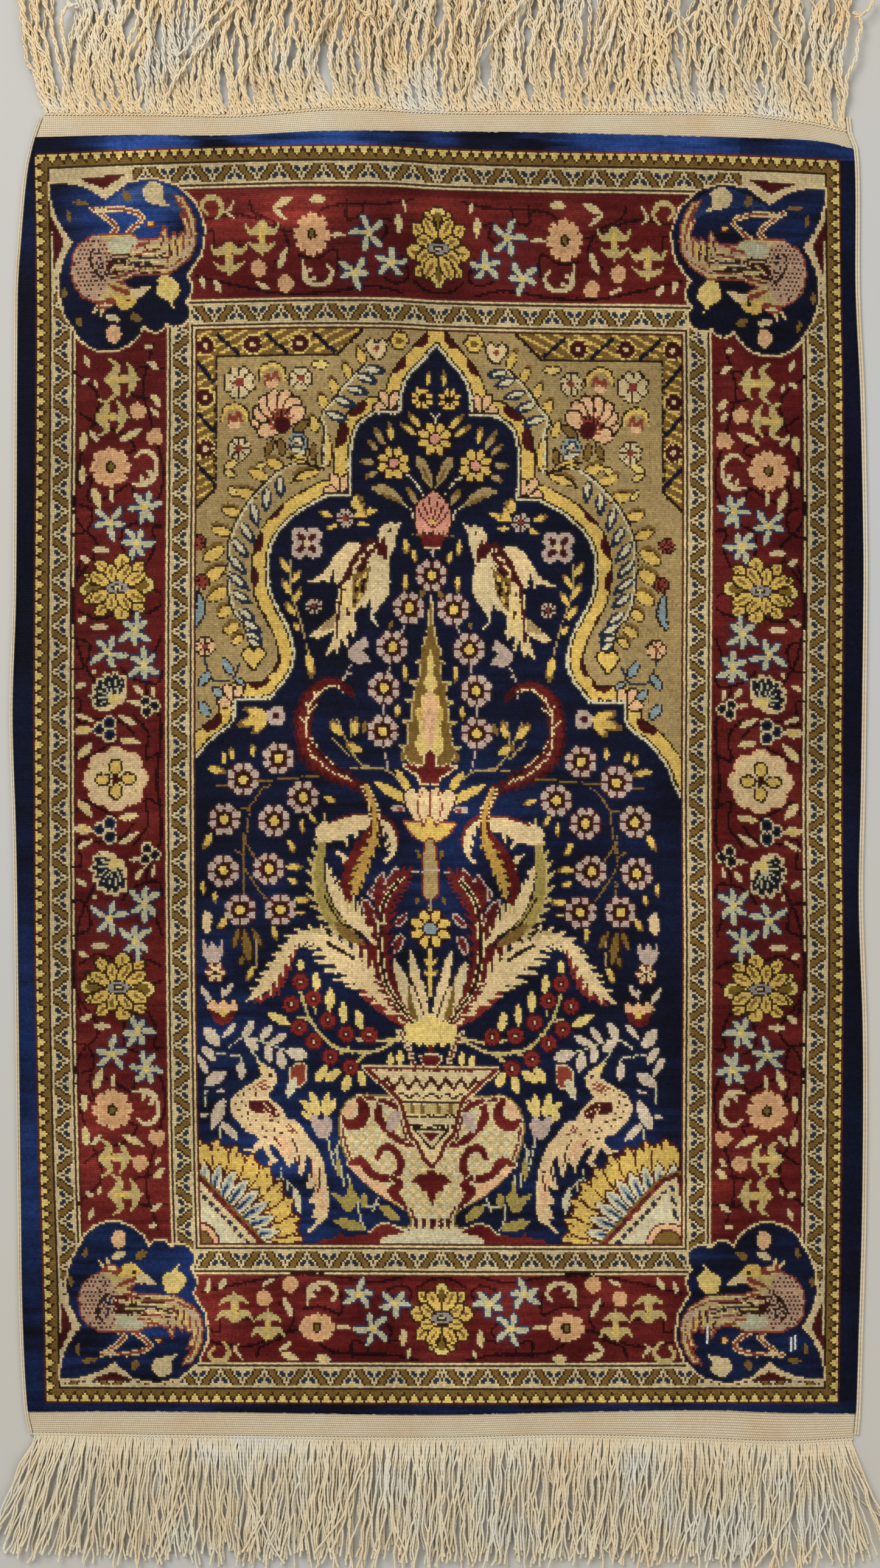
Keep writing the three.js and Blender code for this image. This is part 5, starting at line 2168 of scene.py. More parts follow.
def remap(tree, value, low, high, to_low, to_high):
    return put(tree, "ShaderNodeMapRange", (value, low, high, to_low, to_high)).outputs[0]


def new_group(name, kind, inputs, outputs):
    """A node group with named sockets. Each input is a name, its type and its value."""
    tree = bpy.data.node_groups.new(name, kind)
    for socket_name, socket_type, value in inputs:
        socket = tree.interface.new_socket(socket_name, in_out="INPUT", socket_type=socket_type)
        if value is not None:
            socket.default_value = value
    for socket_name, socket_type in outputs:
        tree.interface.new_socket(socket_name, in_out="OUTPUT", socket_type=socket_type)
    return tree, tree.nodes.new("NodeGroupInput").outputs, tree.nodes.new("NodeGroupOutput").inputs


FLOAT, VECTOR = "NodeSocketFloat", "NodeSocketVector"


def cell_relief_group():
    """Small rounded cells, such as knots or the stitches of a weave, on a place that counts them."""
    inputs = (
        ("Count", VECTOR, None),
        ("Roundness", FLOAT, 3.0),
        ("Side Gap", FLOAT, 1.0),
        ("Shift", FLOAT, 0.0),
        ("Drift", FLOAT, 0.1),
    )
    outputs = (("Height", FLOAT), ("Gap", FLOAT), ("Chance", FLOAT))
    tree, given, out = new_group("cell relief", "ShaderNodeTree", inputs, outputs)
    wander = put(tree, "ShaderNodeTexNoise", {"Vector": given["Count"], "Scale": 0.6, "Detail": 1.0})
    shaken = vector(tree, "SUBTRACT", wander.outputs["Color"], (0.5, 0.5, 0.5))
    place = vector(tree, "ADD", given["Count"], scaled(tree, shaken, given["Drift"]))
    x, y = apart(tree, place)[:2]
    x = maths(tree, "ADD", x, maths(tree, "MULTIPLY", maths(tree, "FLOOR", y), given["Shift"]))
    sides = []
    for across, share in ((x, given["Side Gap"]), (y, 1.0)):
        off = maths(tree, "ABSOLUTE", maths(tree, "SUBTRACT", maths(tree, "FRACT", across), 0.5))
        edge = maths(tree, "POWER", maths(tree, "MULTIPLY", off, 2.0), given["Roundness"])
        sides.append(maths(tree, "SUBTRACT", 1.0, maths(tree, "MULTIPLY", edge, share)))
    height = maths(tree, "MULTIPLY", *sides)
    cell = together(tree, maths(tree, "FLOOR", x), maths(tree, "FLOOR", y), 0.0)
    chance = put(tree, "ShaderNodeTexWhiteNoise", (cell,), noise_dimensions="2D").outputs["Value"]
    tree.links.new(maths(tree, "MULTIPLY", height, remap(tree, chance, 0, 1, 0.75, 1)), out["Height"])
    tree.links.new(maths(tree, "SUBTRACT", 1.0, height, clamp=True), out["Gap"])
    tree.links.new(chance, out["Chance"])
    return tree


def handling_group():
    """Soft uneven tone from years of use, and fine specks, over the object's own place."""
    inputs = (("Place", VECTOR, None), ("Zone", FLOAT, 12.0), ("Speck", FLOAT, 600.0))
    outputs = (("Tone", FLOAT), ("Specks", FLOAT))
    tree, given, out = new_group("handling", "ShaderNodeTree", inputs, outputs)
    zone = {"Vector": given["Place"], "Scale": given["Zone"], "Detail": 3.0, "Roughness": 0.6}
    speck = {"Vector": given["Place"], "Scale": given["Speck"], "Detail": 2.0}
    tree.links.new(put(tree, "ShaderNodeTexNoise", zone).outputs[0], out["Tone"])
    tree.links.new(put(tree, "ShaderNodeTexNoise", speck).outputs[0], out["Specks"])
    return tree


CELLS = cell_relief_group()
HANDLING = handling_group()


def attribute(tree, name):
    return put(tree, "ShaderNodeAttribute", attribute_name=name).outputs


def cell_relief(tree, count, roundness, side_gap, shift, drift):
    values = {"Count": count, "Roundness": roundness, "Side Gap": side_gap, "Shift": shift, "Drift": drift}
    return put(tree, "ShaderNodeGroup", values, node_tree=CELLS).outputs


def handling(tree, zone, speck):
    values = {"Place": put(tree, "ShaderNodeTexCoord").outputs["Object"], "Zone": zone, "Speck": speck}
    return put(tree, "ShaderNodeGroup", values, node_tree=HANDLING).outputs


def mixed(tree, factor, first, second):
    """The first colour, passing to the second as the factor rises."""
    return put(tree, "ShaderNodeMix", {0: factor, 6: first, 7: second}, data_type="RGBA").outputs[2]


def linear(colour):
    """From a colour as a screen shows it to the amounts of light that Blender works in."""
    colour = np.asarray(colour, float)
    return np.where(colour <= 0.04045, colour / 12.92, ((colour + 0.055) / 1.055) ** 2.4)


def paint(colour):
    """A screen's colour as a node's socket takes it."""
    return (*linear(colour), 1.0)


def new_material(name, sheen=0.0, sheen_roughness=0.5, specular=0.5):
    """A material with its Principled shader, and the numbers that are the same all over it."""
    material = bpy.data.materials.new(name)
    material.use_nodes = True
    shader = material.node_tree.nodes["Principled BSDF"]
    shader.inputs["Sheen Weight"].default_value = sheen
    shader.inputs["Sheen Roughness"].default_value = sheen_roughness
    shader.inputs["Specular IOR Level"].default_value = specular
    return material, material.node_tree, shader


def finish_material(tree, shader, colour, roughness, height, deep):
    """Gives the shader its colour, its roughness and a relief as deep as said."""
    bump = put(tree, "ShaderNodeBump", {"Height": height, "Distance": deep, "Strength": 0.8})
    tree.links.new(colour, shader.inputs["Base Color"])
    tree.links.new(roughness, shader.inputs["Roughness"])
    tree.links.new(bump.outputs[0], shader.inputs["Normal"])


# The flat weave as it mostly is and where it is tanned
KILIM_LIGHT, KILIM_WARM = (0.85, 0.787, 0.661), (0.83, 0.728, 0.583)
# Silk yarn as it mostly is, where it is tanned, and where it has stayed white
FRINGE_COLOURS = {
    "top": ((0.94, 0.865, 0.715), (0.925, 0.80, 0.59), (0.89, 0.875, 0.83)),
    "bottom": ((0.92, 0.875, 0.76), (0.91, 0.815, 0.65), (0.88, 0.875, 0.84)),
}
CORD_COLOURS = (0.88, 0.82, 0.70), (0.84, 0.73, 0.55), (0.86, 0.82, 0.74)


def silk_pile():
    """Sheared silk: each knot in its own dyed silk, with painted shade in the soft gap round it, and an
    uneven sheen.
    """
    material, tree, shader = new_material("silk pile", sheen=0.012, sheen_roughness=0.35, specular=0.035)
    count = put(tree, "ShaderNodeUVMap", uv_map="knots").outputs[0]
    count = vector(tree, "MULTIPLY", count, (ACROSS, ALONG, 0))
    knots = cell_relief(tree, count, 2.4, 0.55, 0.0, 0.25)
    tones = handling(tree, 14.0, 900.0)
    tone = remap(tree, tones["Tone"], 0.3, 0.7, 0.95, 1.05)
    # Painted shade: darker in the gaps between the knots
    tone = maths(tree, "MULTIPLY", tone, remap(tree, knots["Gap"], 0.15, 1.0, 1.08, 0.74))
    tone = maths(tree, "MULTIPLY", tone, remap(tree, tones["Specks"], 0.3, 0.7, 0.9, 1.1))
    colour = scaled(tree, attribute(tree, "silk")["Vector"], tone)
    roughness = remap(tree, tones["Tone"], 0.3, 0.7, 0.45, 0.6)
    finish_material(tree, shader, colour, roughness, knots["Height"], 0.13 * MM)
    return material


def flat_weave():
    """Cream weft-faced cloth in fine slanted stitches, with painted shade in the gaps between them, its
    colour a little uneven.
    """
    material, tree, shader = new_material("kilim silk", sheen=0.05, specular=0.2)
    count = put(tree, "ShaderNodeUVMap", uv_map="stitches").outputs[0]
    stitches = cell_relief(tree, count, 2.2, 0.75, 0.4, 0.2)
    tones = handling(tree, 22.0, 1500.0)
    # Painted shade: darker in the gaps between the stitches, a little lighter on their tops
    tone = remap(tree, stitches["Gap"], 0.1, 1.0, 1.1, 0.54)
    tone = maths(tree, "MULTIPLY", tone, remap(tree, stitches["Chance"], 0, 1, 0.94, 1.04))
    old = mixed(tree, remap(tree, tones["Tone"], 0.35, 0.65, 0, 1), paint(KILIM_LIGHT), paint(KILIM_WARM))
    roughness = remap(tree, tones["Specks"], 0.3, 0.7, 0.7, 0.85)
    finish_material(tree, shader, scaled(tree, old, tone), roughness, stitches["Height"], 0.25 * MM)
    return material


def plied_silk(name, colours, turns, deep):
    """Cream yarn with its twist running round it, with painted shade in the twist's grooves, its strands and
    patches whiter or more tanned.
    """
    material, tree, shader = new_material(name, sheen=0.22, specular=0.2)
    x, y = apart(tree, attribute(tree, "around")["Vector"])[:2]
    angle = maths(tree, "DIVIDE", maths(tree, "ARCTAN2", y, x), math.tau)
    along = maths(tree, "MULTIPLY", attribute(tree, "along")["Fac"], turns)
    wave = maths(tree, "SINE", maths(tree, "MULTIPLY", maths(tree, "ADD", angle, along), 2 * math.tau))
    tones = handling(tree, 26.0, 2500.0)
    strand = attribute(tree, "tone")["Fac"]
    # Painted shade: a little darker in the grooves of the twist
    twist_shade = remap(tree, wave, -1, 1, 0.95, 1.02)
    tone = maths(tree, "MULTIPLY", twist_shade, remap(tree, strand, 0, 1, 0.92, 1.04))
    own = maths(tree, "MULTIPLY", strand, 0.45)
    warmth = maths(tree, "ADD", own, remap(tree, tones["Tone"], 0.4, 0.7, -0.2, 0.6))
    light, warm, cool = map(paint, colours)
    colour = mixed(tree, warmth, light, warm)
    colour = mixed(tree, remap(tree, tones["Tone"], 0.46, 0.32, 0.0, 0.6), colour, cool)
    roughness = remap(tree, tones["Specks"], 0.3, 0.7, 0.6, 0.8)
    finish_material(tree, shader, scaled(tree, colour, tone), roughness, wave, deep)
    return material


# The pile


def drift(chance, rows, columns):
    """Smooth random numbers between -1 and 1 over all the knots, a new one each few rows and columns."""
    grid = chance.uniform(-1, 1, (int(ALONG / rows) + 2, int(ACROSS / columns) + 2))
    along = np.arange(ALONG) / rows
    across = np.arange(ACROSS) / columns
    i, j = along.astype(int), across.astype(int)
    u, v = along - i, across - j
    u, v = (u * u * (3 - 2 * u))[:, None], (v * v * (3 - 2 * v))[None, :]
    top = grid[np.ix_(i, j)] * (1 - v) + grid[np.ix_(i, j + 1)] * v
    foot = grid[np.ix_(i + 1, j)] * (1 - v) + grid[np.ix_(i + 1, j + 1)] * v
    return top * (1 - u) + foot * u


# Painted sheen: the brighter colours that the darker silks are given where the pile is taken to lean to the
# light, and how much of them they always show
LIT_SILKS = {
    "navy": (0.022, (0.190, 0.315, 0.590)),
    "blue": (0.08, (0.270, 0.380, 0.600)),
    "night": (0.03, (0.200, 0.300, 0.480)),
    "crimson": (0.11, (0.640, 0.245, 0.205)),
    "maroon": (0.08, (0.480, 0.180, 0.160)),
    "wine": (0.04, (0.420, 0.140, 0.130)),
}
# Painted sheen spots, where the silks are coloured brighter as if the pile leaned to the light: shares
# across and along, how far it spreads, and by how much
PAINTED_SHEEN_SPOTS = (
    (0.13, 0.060, 0.09, 0.035, 0.40),
    (0.90, 0.060, 0.07, 0.025, 0.14),
    (0.33, 0.065, 0.13, 0.020, 0.34),
    (0.62, 0.062, 0.16, 0.020, 0.16),
    (0.08, 0.740, 0.05, 0.120, 0.16),
    (0.01, 0.820, 0.03, 0.200, 0.18),
    (0.09, 0.940, 0.10, 0.045, 0.20),
    (0.90, 0.940, 0.08, 0.050, 0.08),
    (0.45, 0.910, 0.24, 0.025, 0.16),
    (0.30, 0.840, 0.14, 0.070, 0.22),
    (0.72, 0.840, 0.12, 0.070, 0.18),
    (0.25, 0.690, 0.07, 0.070, 0.10),
    (0.50, 0.560, 0.20, 0.100, 0.07),
    (0.95, 0.500, 0.03, 0.120, 0.04),
)
EDGE_SHEEN = (0.5, 0.07)  # how much painted sheen the plain edge's pile is given, at the upper end and the lower
UNLIT_LIGHT, UNLIT_DARK = 0.92, 0.66  # painted shade: the silks' tone where no painted sheen falls, light silks and dark
LIT_LIGHT = 1.30  # painted highlight: the light silks' tone where the painted sheen is full
LIT_SHARE = 0.25  # how much of that they always show
OUTER_SHADE_TONE, MIDDLE_LIGHT_TONE = 0.765, 0.245  # painted shade: the carpet's darker tone near its edges, and the painted light that its middle adds
KNOT_NOISE = 0.12  # how much single knots differ at random, partly in their silk and partly as painted glints


def knot_colours(silk):
    """Each knot's colour as light, from its silk, with painted sheen in spots, zones and streaks, and
    painted shade towards the edges.
    """
    chance = np.random.default_rng(11)
    # Painted sheen and painted shade: short streaks along the rows and broad zones, which set how much of
    # the lit colour each knot shows
    sheen_streaks = 0.55 * drift(chance, 1.6, 14) + 0.45 * drift(chance, 3.4, 34)
    sheen_zones = 0.6 * drift(chance, 40, 30) + 0.4 * drift(chance, 12, 16)
    row, column = np.mgrid[0:ALONG, 0:ACROSS]
    # Painted sheen: spots where the pile is taken to lean to the light
    lean = np.zeros(silk.shape)
    for across, along, wide, high, by in PAINTED_SHEEN_SPOTS:
        away = ((column / ACROSS - across) / wide) ** 2 + ((row / ALONG - along) / high) ** 2
        lean += by * np.exp(-away)
    # Painted sheen on the upper edge, from its left corner on, and half as much at its right one
    top = (row < EDGE_KNOTS) * np.clip((column / ACROSS - 0.06) / 0.05, 0, 1)
    top = top * (1 - 0.5 * (column / ACROSS > 0.86))
    lean += EDGE_SHEEN[0] * top + EDGE_SHEEN[1] * (row >= ALONG - LOWER_EDGE_KNOTS)
    calm = 1 - 0.5 * (np.minimum(column, ACROSS - 1 - column) < EDGE_KNOTS)
    uneven_sheen = np.clip(1 + sheen_zones + 0.8 * calm * sheen_streaks, 0.05, 3) ** 1.4
    plain = linear(np.array(list(SILKS.values())))
    unlit, bright = plain * UNLIT_LIGHT, plain * LIT_LIGHT
    level = np.full(len(plain), LIT_SHARE)
    for name, (always, colour) in LIT_SILKS.items():
        unlit[SILK[name]], bright[SILK[name]] = plain[SILK[name]] * UNLIT_DARK, linear(colour)
        level[SILK[name]] = always
    lit = np.clip((level[silk] + lean) * uneven_sheen, 0, 1)[..., None]
    colours = unlit[silk] * (1 - lit) + bright[silk] * lit
    # Painted shade towards the edges and painted light about the middle and the vase, with a random tone for
    # each knot
    middle = np.exp(-(((column / ACROSS - 0.5) / 0.34) ** 4 + ((row / ALONG - 0.66) / 0.45) ** 4))
    knots = np.clip(1 + chance.normal(0, KNOT_NOISE, silk.shape), 0.55, 1.45)
    tone = (OUTER_SHADE_TONE + MIDDLE_LIGHT_TONE * middle + 0.05 * sheen_zones) * knots
    return colours * tone[..., None]


BACK_COLUMNS, BACK_ROWS = 5, 7  # knots to a face on the underside
BACK_DULL = 0.8  # the underside's tone
BLEND = 0.15  # how much of its neighbours' silk a knot takes up at its corners
UNEVENNESS = 0.07  # how far knots lie out of place, in knots
ROW_SHIFT = 0.14  # how far a row of knots runs to the side, in knots
SWELLING = 0.12 * MM  # how far the pile rises and sinks in its slow swells
SHARP_PILE, SHARP_KILIM = math.radians(35), math.radians(50)  # where faces meet at more, an edge is sharp
STRIPS = ("pile_far_left", "pile_left", "pile_right", "pile_far_right")


def pile_height(columns, rows):
    """The cut pile's height over the floor, lower at its outer knots, with slow soft swells."""
    from_side = np.minimum(columns, ACROSS - columns)
    from_end = np.minimum(rows, ALONG - rows)
    edge = np.clip(np.minimum(from_side, from_end), 0, 1)
    swell = np.sin(columns * 0.031 + 1.3 * np.sin(rows * 0.017))
    swell = swell * np.sin(rows * 0.023 + 0.9 * np.sin(columns * 0.021))
    return PILE_HIGH - SHOULDER_DROP * (1 - edge) + SWELLING * (swell - 1) * edge


def meeting_colours(colours):
    """The mean colour of the knots that meet at each corner."""
    padded = np.pad(colours, ((1, 1), (1, 1), (0, 0)), mode="edge")
    return (padded[:-1, :-1] + padded[1:, :-1] + padded[1:, 1:] + padded[:-1, 1:]) / 4


def uneven(columns, rows):
    """The corners' counts, each a little off its even place, and each row of knots too."""
    chance = np.random.default_rng(17)
    off = chance.normal(0, UNEVENNESS, (2, ALONG + 1, ACROSS + 1)).clip(-2 * UNEVENNESS, 2 * UNEVENNESS)
    off[0, :ALONG, :ACROSS] += ROW_SHIFT * drift(chance, 1.0, 24)
    columns_off = columns + off[0][rows, columns]
    rows_off = rows + off[1][rows, columns]
    on_side, on_end = (columns == 0) | (columns == ACROSS), (rows == 0) | (rows == ALONG)
    rows_off = np.where(on_end, rows + 3 * off[1][rows, columns], rows_off)
    return np.where(on_side, columns, columns_off), np.where(on_side, rows, rows_off)


def spaced(count, step):
    """Every so many of a count, and the last."""
    return np.append(np.arange(0, count, step), count)


def quads(grid, below=False):
    """Faces between the points of a grid, to be seen from above or from below."""
    a, b, c, d = grid[:-1, :-1], grid[1:, :-1], grid[1:, 1:], grid[:-1, 1:]
    return np.stack((a, d, c, b) if below else (a, b, c, d), -1).reshape(-1, 4).tolist()


def closed_cloth(name, x, y, z, along, across):
    """A closed sheet over a grid of places, with points below only at the rows and columns named.

    The faces above come first, then those below, then the rim's: down both sides, and across both ends.
    """
    pick = np.ix_(along, across)
    top = np.arange(x.size).reshape(x.shape)
    foot = x.size + np.arange(x[pick].size).reshape(x[pick].shape)
    upper = np.stack([x, y, z], -1).reshape(-1, 3)
    lower = np.stack([x[pick], y[pick], 0 * x[pick]], -1).reshape(-1, 3)
    faces = [*quads(top), *quads(foot, below=True)]
    for i, (first, last) in enumerate(zip(along, along[1:])):
        run, ends = slice(first, last + 1), slice(i, i + 2)
        faces.append([*top[run, 0][::-1].tolist(), *foot[ends, 0].tolist()])
        faces.append([*top[run, -1].tolist(), *foot[ends, -1][::-1].tolist()])
    for i, (first, last) in enumerate(zip(across, across[1:])):
        run, ends = slice(first, last + 1), slice(i, i + 2)
        faces.append([*top[0, run].tolist(), *foot[0, ends][::-1].tolist()])
        faces.append([*top[-1, run][::-1].tolist(), *foot[-1, ends].tolist()])
    mesh = bpy.data.meshes.new(name)
    mesh.from_pydata(np.vstack([upper, lower]).tolist(), [], faces)
    return mesh


def at_points(values, along, across):
    """What belongs to each point of a closed sheet, above and then below."""
    wide = values.shape[-1]
    return np.concatenate([values.reshape(-1, wide), values[np.ix_(along, across)].reshape(-1, wide)])


def read(items, what):
    """One whole number from each of a mesh's faces or corners."""
    found = np.empty(len(items), np.int32)
    items.foreach_get(what, found)
    return found


def add_map(mesh, name, places):
    """A UV map with a place for each face corner."""
    mesh.uv_layers.new(name=name).data.foreach_set("uv", places.ravel().astype(np.float32))


def finish_sheet(name, mesh, material, sharp):
    mesh.polygons.foreach_set("use_smooth", np.ones(len(mesh.polygons), bool))
    mesh.set_sharp_from_angle(angle=sharp)
    mesh.materials.append(material)
    piece = add_object(name, mesh)
    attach(piece, "root")
    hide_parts("carpet_body")


def strip_silks(shown, meeting, along, across, corners):
    """The silk of each face corner: above, a knot's own with a little of its neighbours', else dulled."""
    near = np.stack([meeting[:-1, :-1], meeting[1:, :-1], meeting[1:, 1:], meeting[:-1, 1:]], -2)
    near = (shown[..., None, :] * (1 - BLEND) + near * BLEND).reshape(-1, 3)
    middle = np.ix_((along[:-1] + along[1:]) // 2, (across[:-1] + across[1:]) // 2)
    sides = shown[along[:-1]][:, [0, -1]]
    ends = shown[[0, -1]][:, across[:-1]].transpose(1, 0, 2)
    others = np.vstack([part.reshape(-1, 3) for part in (shown[middle], sides, ends)]) * BACK_DULL
    return np.vstack([near, np.repeat(others, corners[shown[..., 0].size :], axis=0)])


def pile_strip(name, first, last, colours, material):
    """A closed strip of knots, one face to a knot above and coarser faces below."""
    columns, rows = np.meshgrid(np.arange(first, last + 1), np.arange(ALONG + 1))
    across, along = spaced(last - first, BACK_COLUMNS), spaced(ALONG, BACK_ROWS)
    x, y = metres(*knot_places(*uneven(columns, rows)))
    mesh = closed_cloth(name, x, y, pile_height(columns, rows), along, across)
    meeting = meeting_colours(colours)[:, first : last + 1]
    corners = read(mesh.polygons, "loop_total")
    silks = strip_silks(colours[:, first:last], meeting, along, across, corners)
    silk = mesh.attributes.new("silk", "FLOAT_VECTOR", "CORNER")
    silk.data.foreach_set("vector", silks.ravel().astype(np.float32))
    counts = at_points(np.stack([columns, rows], -1), along, across)
    corner = read(mesh.loops, "vertex_index")
    add_map(mesh, "knots", counts[corner] / (ACROSS, ALONG))
    lay_out_strip(mesh, counts[corner] - (first, 0), corner, last - first)
    finish_sheet(name, mesh, material, SHARP_PILE)


MAP_MARGIN = 0.004
MAP_ROOM = 1 - 2 * MAP_MARGIN
MAP_GAP = 2  # knots between the parts of the map
RIM_LANE = 6  # knots' widths of the underside from one run of the rim to the next


def lay_out_strip(mesh, counts, corner, wide):
    """A map with the strip's upper and lower halves side by side, then its underside, then its rim."""
    half = ALONG // 2 + 1
    knot, back = MAP_ROOM / half, MAP_ROOM / ALONG
    total = read(mesh.polygons, "loop_total")
    owner = np.repeat(np.arange(len(total)), total)
    columns, rows = counts[:, 0], counts[:, 1]
    across, along = len(spaced(wide, BACK_COLUMNS)) - 1, len(spaced(ALONG, BACK_ROWS)) - 1
    knots, cells = wide * ALONG, across * along
    above, below = owner < knots, (owner >= knots) & (owner < knots + cells)
    place = np.empty((len(corner), 2))
    place[:, 0] = MAP_MARGIN + columns * knot
    place[:, 1] = 1 - MAP_MARGIN - rows * knot
    lower_half = above & (owner // wide >= half)
    place[lower_half, 0] += (wide + MAP_GAP) * knot
    place[lower_half, 1] += half * knot
    place[below, 0] = (2 * wide + 2 * MAP_GAP + 1) * knot + MAP_MARGIN + columns[below] * back
    place[below, 1] = 1 - MAP_MARGIN - rows[below] * back
    rim = ~(above | below)
    low = corner[rim] >= (wide + 1) * (ALONG + 1)
    second = (owner[rim] - knots - cells) % 2
    on_side = owner[rim] < knots + cells + 2 * along
    left = (2 * wide + 4 * MAP_GAP) * knot + MAP_MARGIN + wide * back
    run = np.where(on_side, rows[rim], columns[rim]) * back
    lane = np.where(on_side, second, 2 + second)
    place[rim, 0] = left + (lane * RIM_LANE + np.where(low, 2, 0)) * back
    place[rim, 1] = 1 - MAP_MARGIN - run
    add_map(mesh, "OFBake", place)


def knot_pile(material):
    """Draws the design and knots it, strip by strip."""
    colours = knot_colours(draw_cartoon().silk)
    bounds = np.linspace(0, ACROSS, len(STRIPS) + 1).round().astype(int).tolist()
    for name, first, last in zip(STRIPS, bounds, bounds[1:]):
        pile_strip(name, first, last, colours, material)


# The flat-woven ends

STITCHES_ACROSS, STITCHES_DEEP = 400, 11
KILIM_TUCK = 0.5  # millimetres that each end runs in under the pile
KILIM_COLUMNS, KILIM_ROWS = 156, 3 * STITCHES_DEEP
KILIM_BACK_ROWS = 11  # rows to a face on its underside
RIB_HIGH, KILIM_DROP = 0.07 * MM, 0.35 * MM  # half a rib's height, and how far the edge is rounded down


def end_places(share, depth, table, tuck=0.0):
    """Places on a flat-woven end: a share across it, and a depth from the pile's edge to its outer one."""
    nominal = (2 * share - 1) * NOMINAL_HALF_WIDTH
    pile, edge = smooth_table(table, nominal, 1), smooth_table(table, nominal, 2)
    inner = pile - tuck * np.sign(edge - pile)
    y = inner + (edge - inner) * depth
    left, right = smooth_table(LEFT_SIDE, y), smooth_table(RIGHT_SIDE, y)
    return left + share * (right - left), y


def kilim_end(name, table, material):
    """One flat-woven end, closed: ribs above, a plain face below, and a rim between them."""
    share, depth = np.meshgrid(np.linspace(0, 1, KILIM_COLUMNS + 1), np.linspace(0, 1, KILIM_ROWS + 1))
    x, y = metres(*end_places(share, depth, table, KILIM_TUCK))
    if y[0, 0] < y[-1, 0]:
        x, y, share, depth = x[::-1], y[::-1], share[::-1], depth[::-1]
    rib = RIB_HIGH * np.cos(depth * STITCHES_DEEP * math.tau)
    from_side = np.minimum(share, 1 - share) * KILIM_COLUMNS
    from_end = np.minimum(depth, 1 - depth) * STITCHES_DEEP
    z = KILIM_HIGH + rib - KILIM_DROP * np.clip(1 - np.minimum(from_side, from_end), 0, 1) ** 2
    along, across = spaced(KILIM_ROWS, KILIM_BACK_ROWS), np.arange(KILIM_COLUMNS + 1)
    mesh = closed_cloth(name, x, y, z, along, across)
    counts = at_points(np.stack([share * STITCHES_ACROSS, depth * STITCHES_DEEP], -1), along, across)
    add_map(mesh, "stitches", counts[read(mesh.loops, "vertex_index")])
    finish_sheet(name, mesh, material, SHARP_KILIM)


# Cords and strands, grown along a path


def named(tree, name, kind="FLOAT"):
    return put(tree, "GeometryNodeInputNamedAttribute", (name,), data_type=kind).outputs[0]


def keep(tree, geometry, name, value, kind="FLOAT"):
    """Stores a value on the points, so that later nodes and the material can read it."""
    inputs = {"Geometry": geometry, "Name": name, "Value": value}
    return put(tree, "GeometryNodeStoreNamedAttribute", inputs, data_type=kind).outputs[0]


def chance_between(tree, low, high, seed):
    inputs = {2: low, 3: high, "Seed": seed}
    return put(tree, "FunctionNodeRandomValue", inputs, data_type="FLOAT").outputs[1]


GEOMETRY, INTEGER, YES_NO = "NodeSocketGeometry", "NodeSocketInt", "NodeSocketBool"
MATERIAL = "NodeSocketMaterial"
# What every yarn is given. The last is only for the trees that use the yarn group
YARN_INPUTS = (
    ("Ply Width", FLOAT, 0.7 * MM),
    ("Flatness", FLOAT, 1.0),
    ("Looseness", FLOAT, 1.0),
    ("Two Plies", YES_NO, True),
    ("Twist", FLOAT, 150.0),
    ("Sides", INTEGER, 4),
    ("Material", MATERIAL, None),
)


def yarn_group():
    """Turns a curve into yarn, of one ply or of two wound round each other. It reads each point's swell."""
    inputs = (("Curve", GEOMETRY, None), *YARN_INPUTS[:-1])
    tree, given, out = new_group("yarn", "GeometryNodeTree", inputs, (("Mesh", GEOMETRY),))
    radius = maths(tree, "MULTIPLY", given["Ply Width"], 0.5)
    circle = put(tree, "GeometryNodeCurvePrimitiveCircle", {"Resolution": given["Sides"], "Radius": radius})
    place = put(tree, "GeometryNodeInputPosition").outputs[0]
    round_it = keep(tree, circle.outputs[0], "around", place, "FLOAT_VECTOR")
    scale = together(tree, 1.0, given["Flatness"], 1.0)
    profile = put(tree, "GeometryNodeTransform", {"Geometry": round_it, "Scale": scale})
    along = put(tree, "GeometryNodeSplineParameter").outputs["Length"]
    curve = keep(tree, given["Curve"], "along", along)
    turned = maths(tree, "MULTIPLY", maths(tree, "MULTIPLY", along, given["Twist"]), math.tau)
    turned = maths(tree, "ADD", turned, maths(tree, "MULTIPLY", named(tree, "tone"), 9.0))
    heading = put(tree, "GeometryNodeInputTangent").outputs[0]
    side = vector(tree, "NORMALIZE", vector(tree, "CROSS_PRODUCT", heading, (0, 0, 1)))
    off = maths(tree, "MULTIPLY", radius, given["Looseness"])
    sideways = scaled(tree, side, maths(tree, "MULTIPLY", maths(tree, "COSINE", turned), off))
    upwards = together(tree, 0.0, 0.0, maths(tree, "MULTIPLY", maths(tree, "SINE", turned), off))
    winding = vector(tree, "ADD", sideways, upwards)
    pair = tree.nodes.new("GeometryNodeJoinGeometry")
    for turn in (1, -1):
        offset = vector(tree, "MULTIPLY", winding, (turn, turn, turn))
        ply = put(tree, "GeometryNodeSetPosition", {"Geometry": curve, "Offset": offset})
        tree.links.new(ply.outputs[0], pair.inputs[0])
    choice = {"Switch": given["Two Plies"], "False": curve, "True": pair.outputs[0]}
    strands = put(tree, "GeometryNodeSwitch", choice, input_type="GEOMETRY")
    inputs = {0: strands.outputs[0], 1: profile.outputs[0], "Scale": named(tree, "swell"), "Fill Caps": True}
    mesh = put(tree, "GeometryNodeCurveToMesh", inputs)
    smooth = put(tree, "GeometryNodeSetShadeSmooth", (mesh.outputs[0],))
    tree.links.new(smooth.outputs[0], out["Mesh"])
    return tree


YARN = yarn_group()


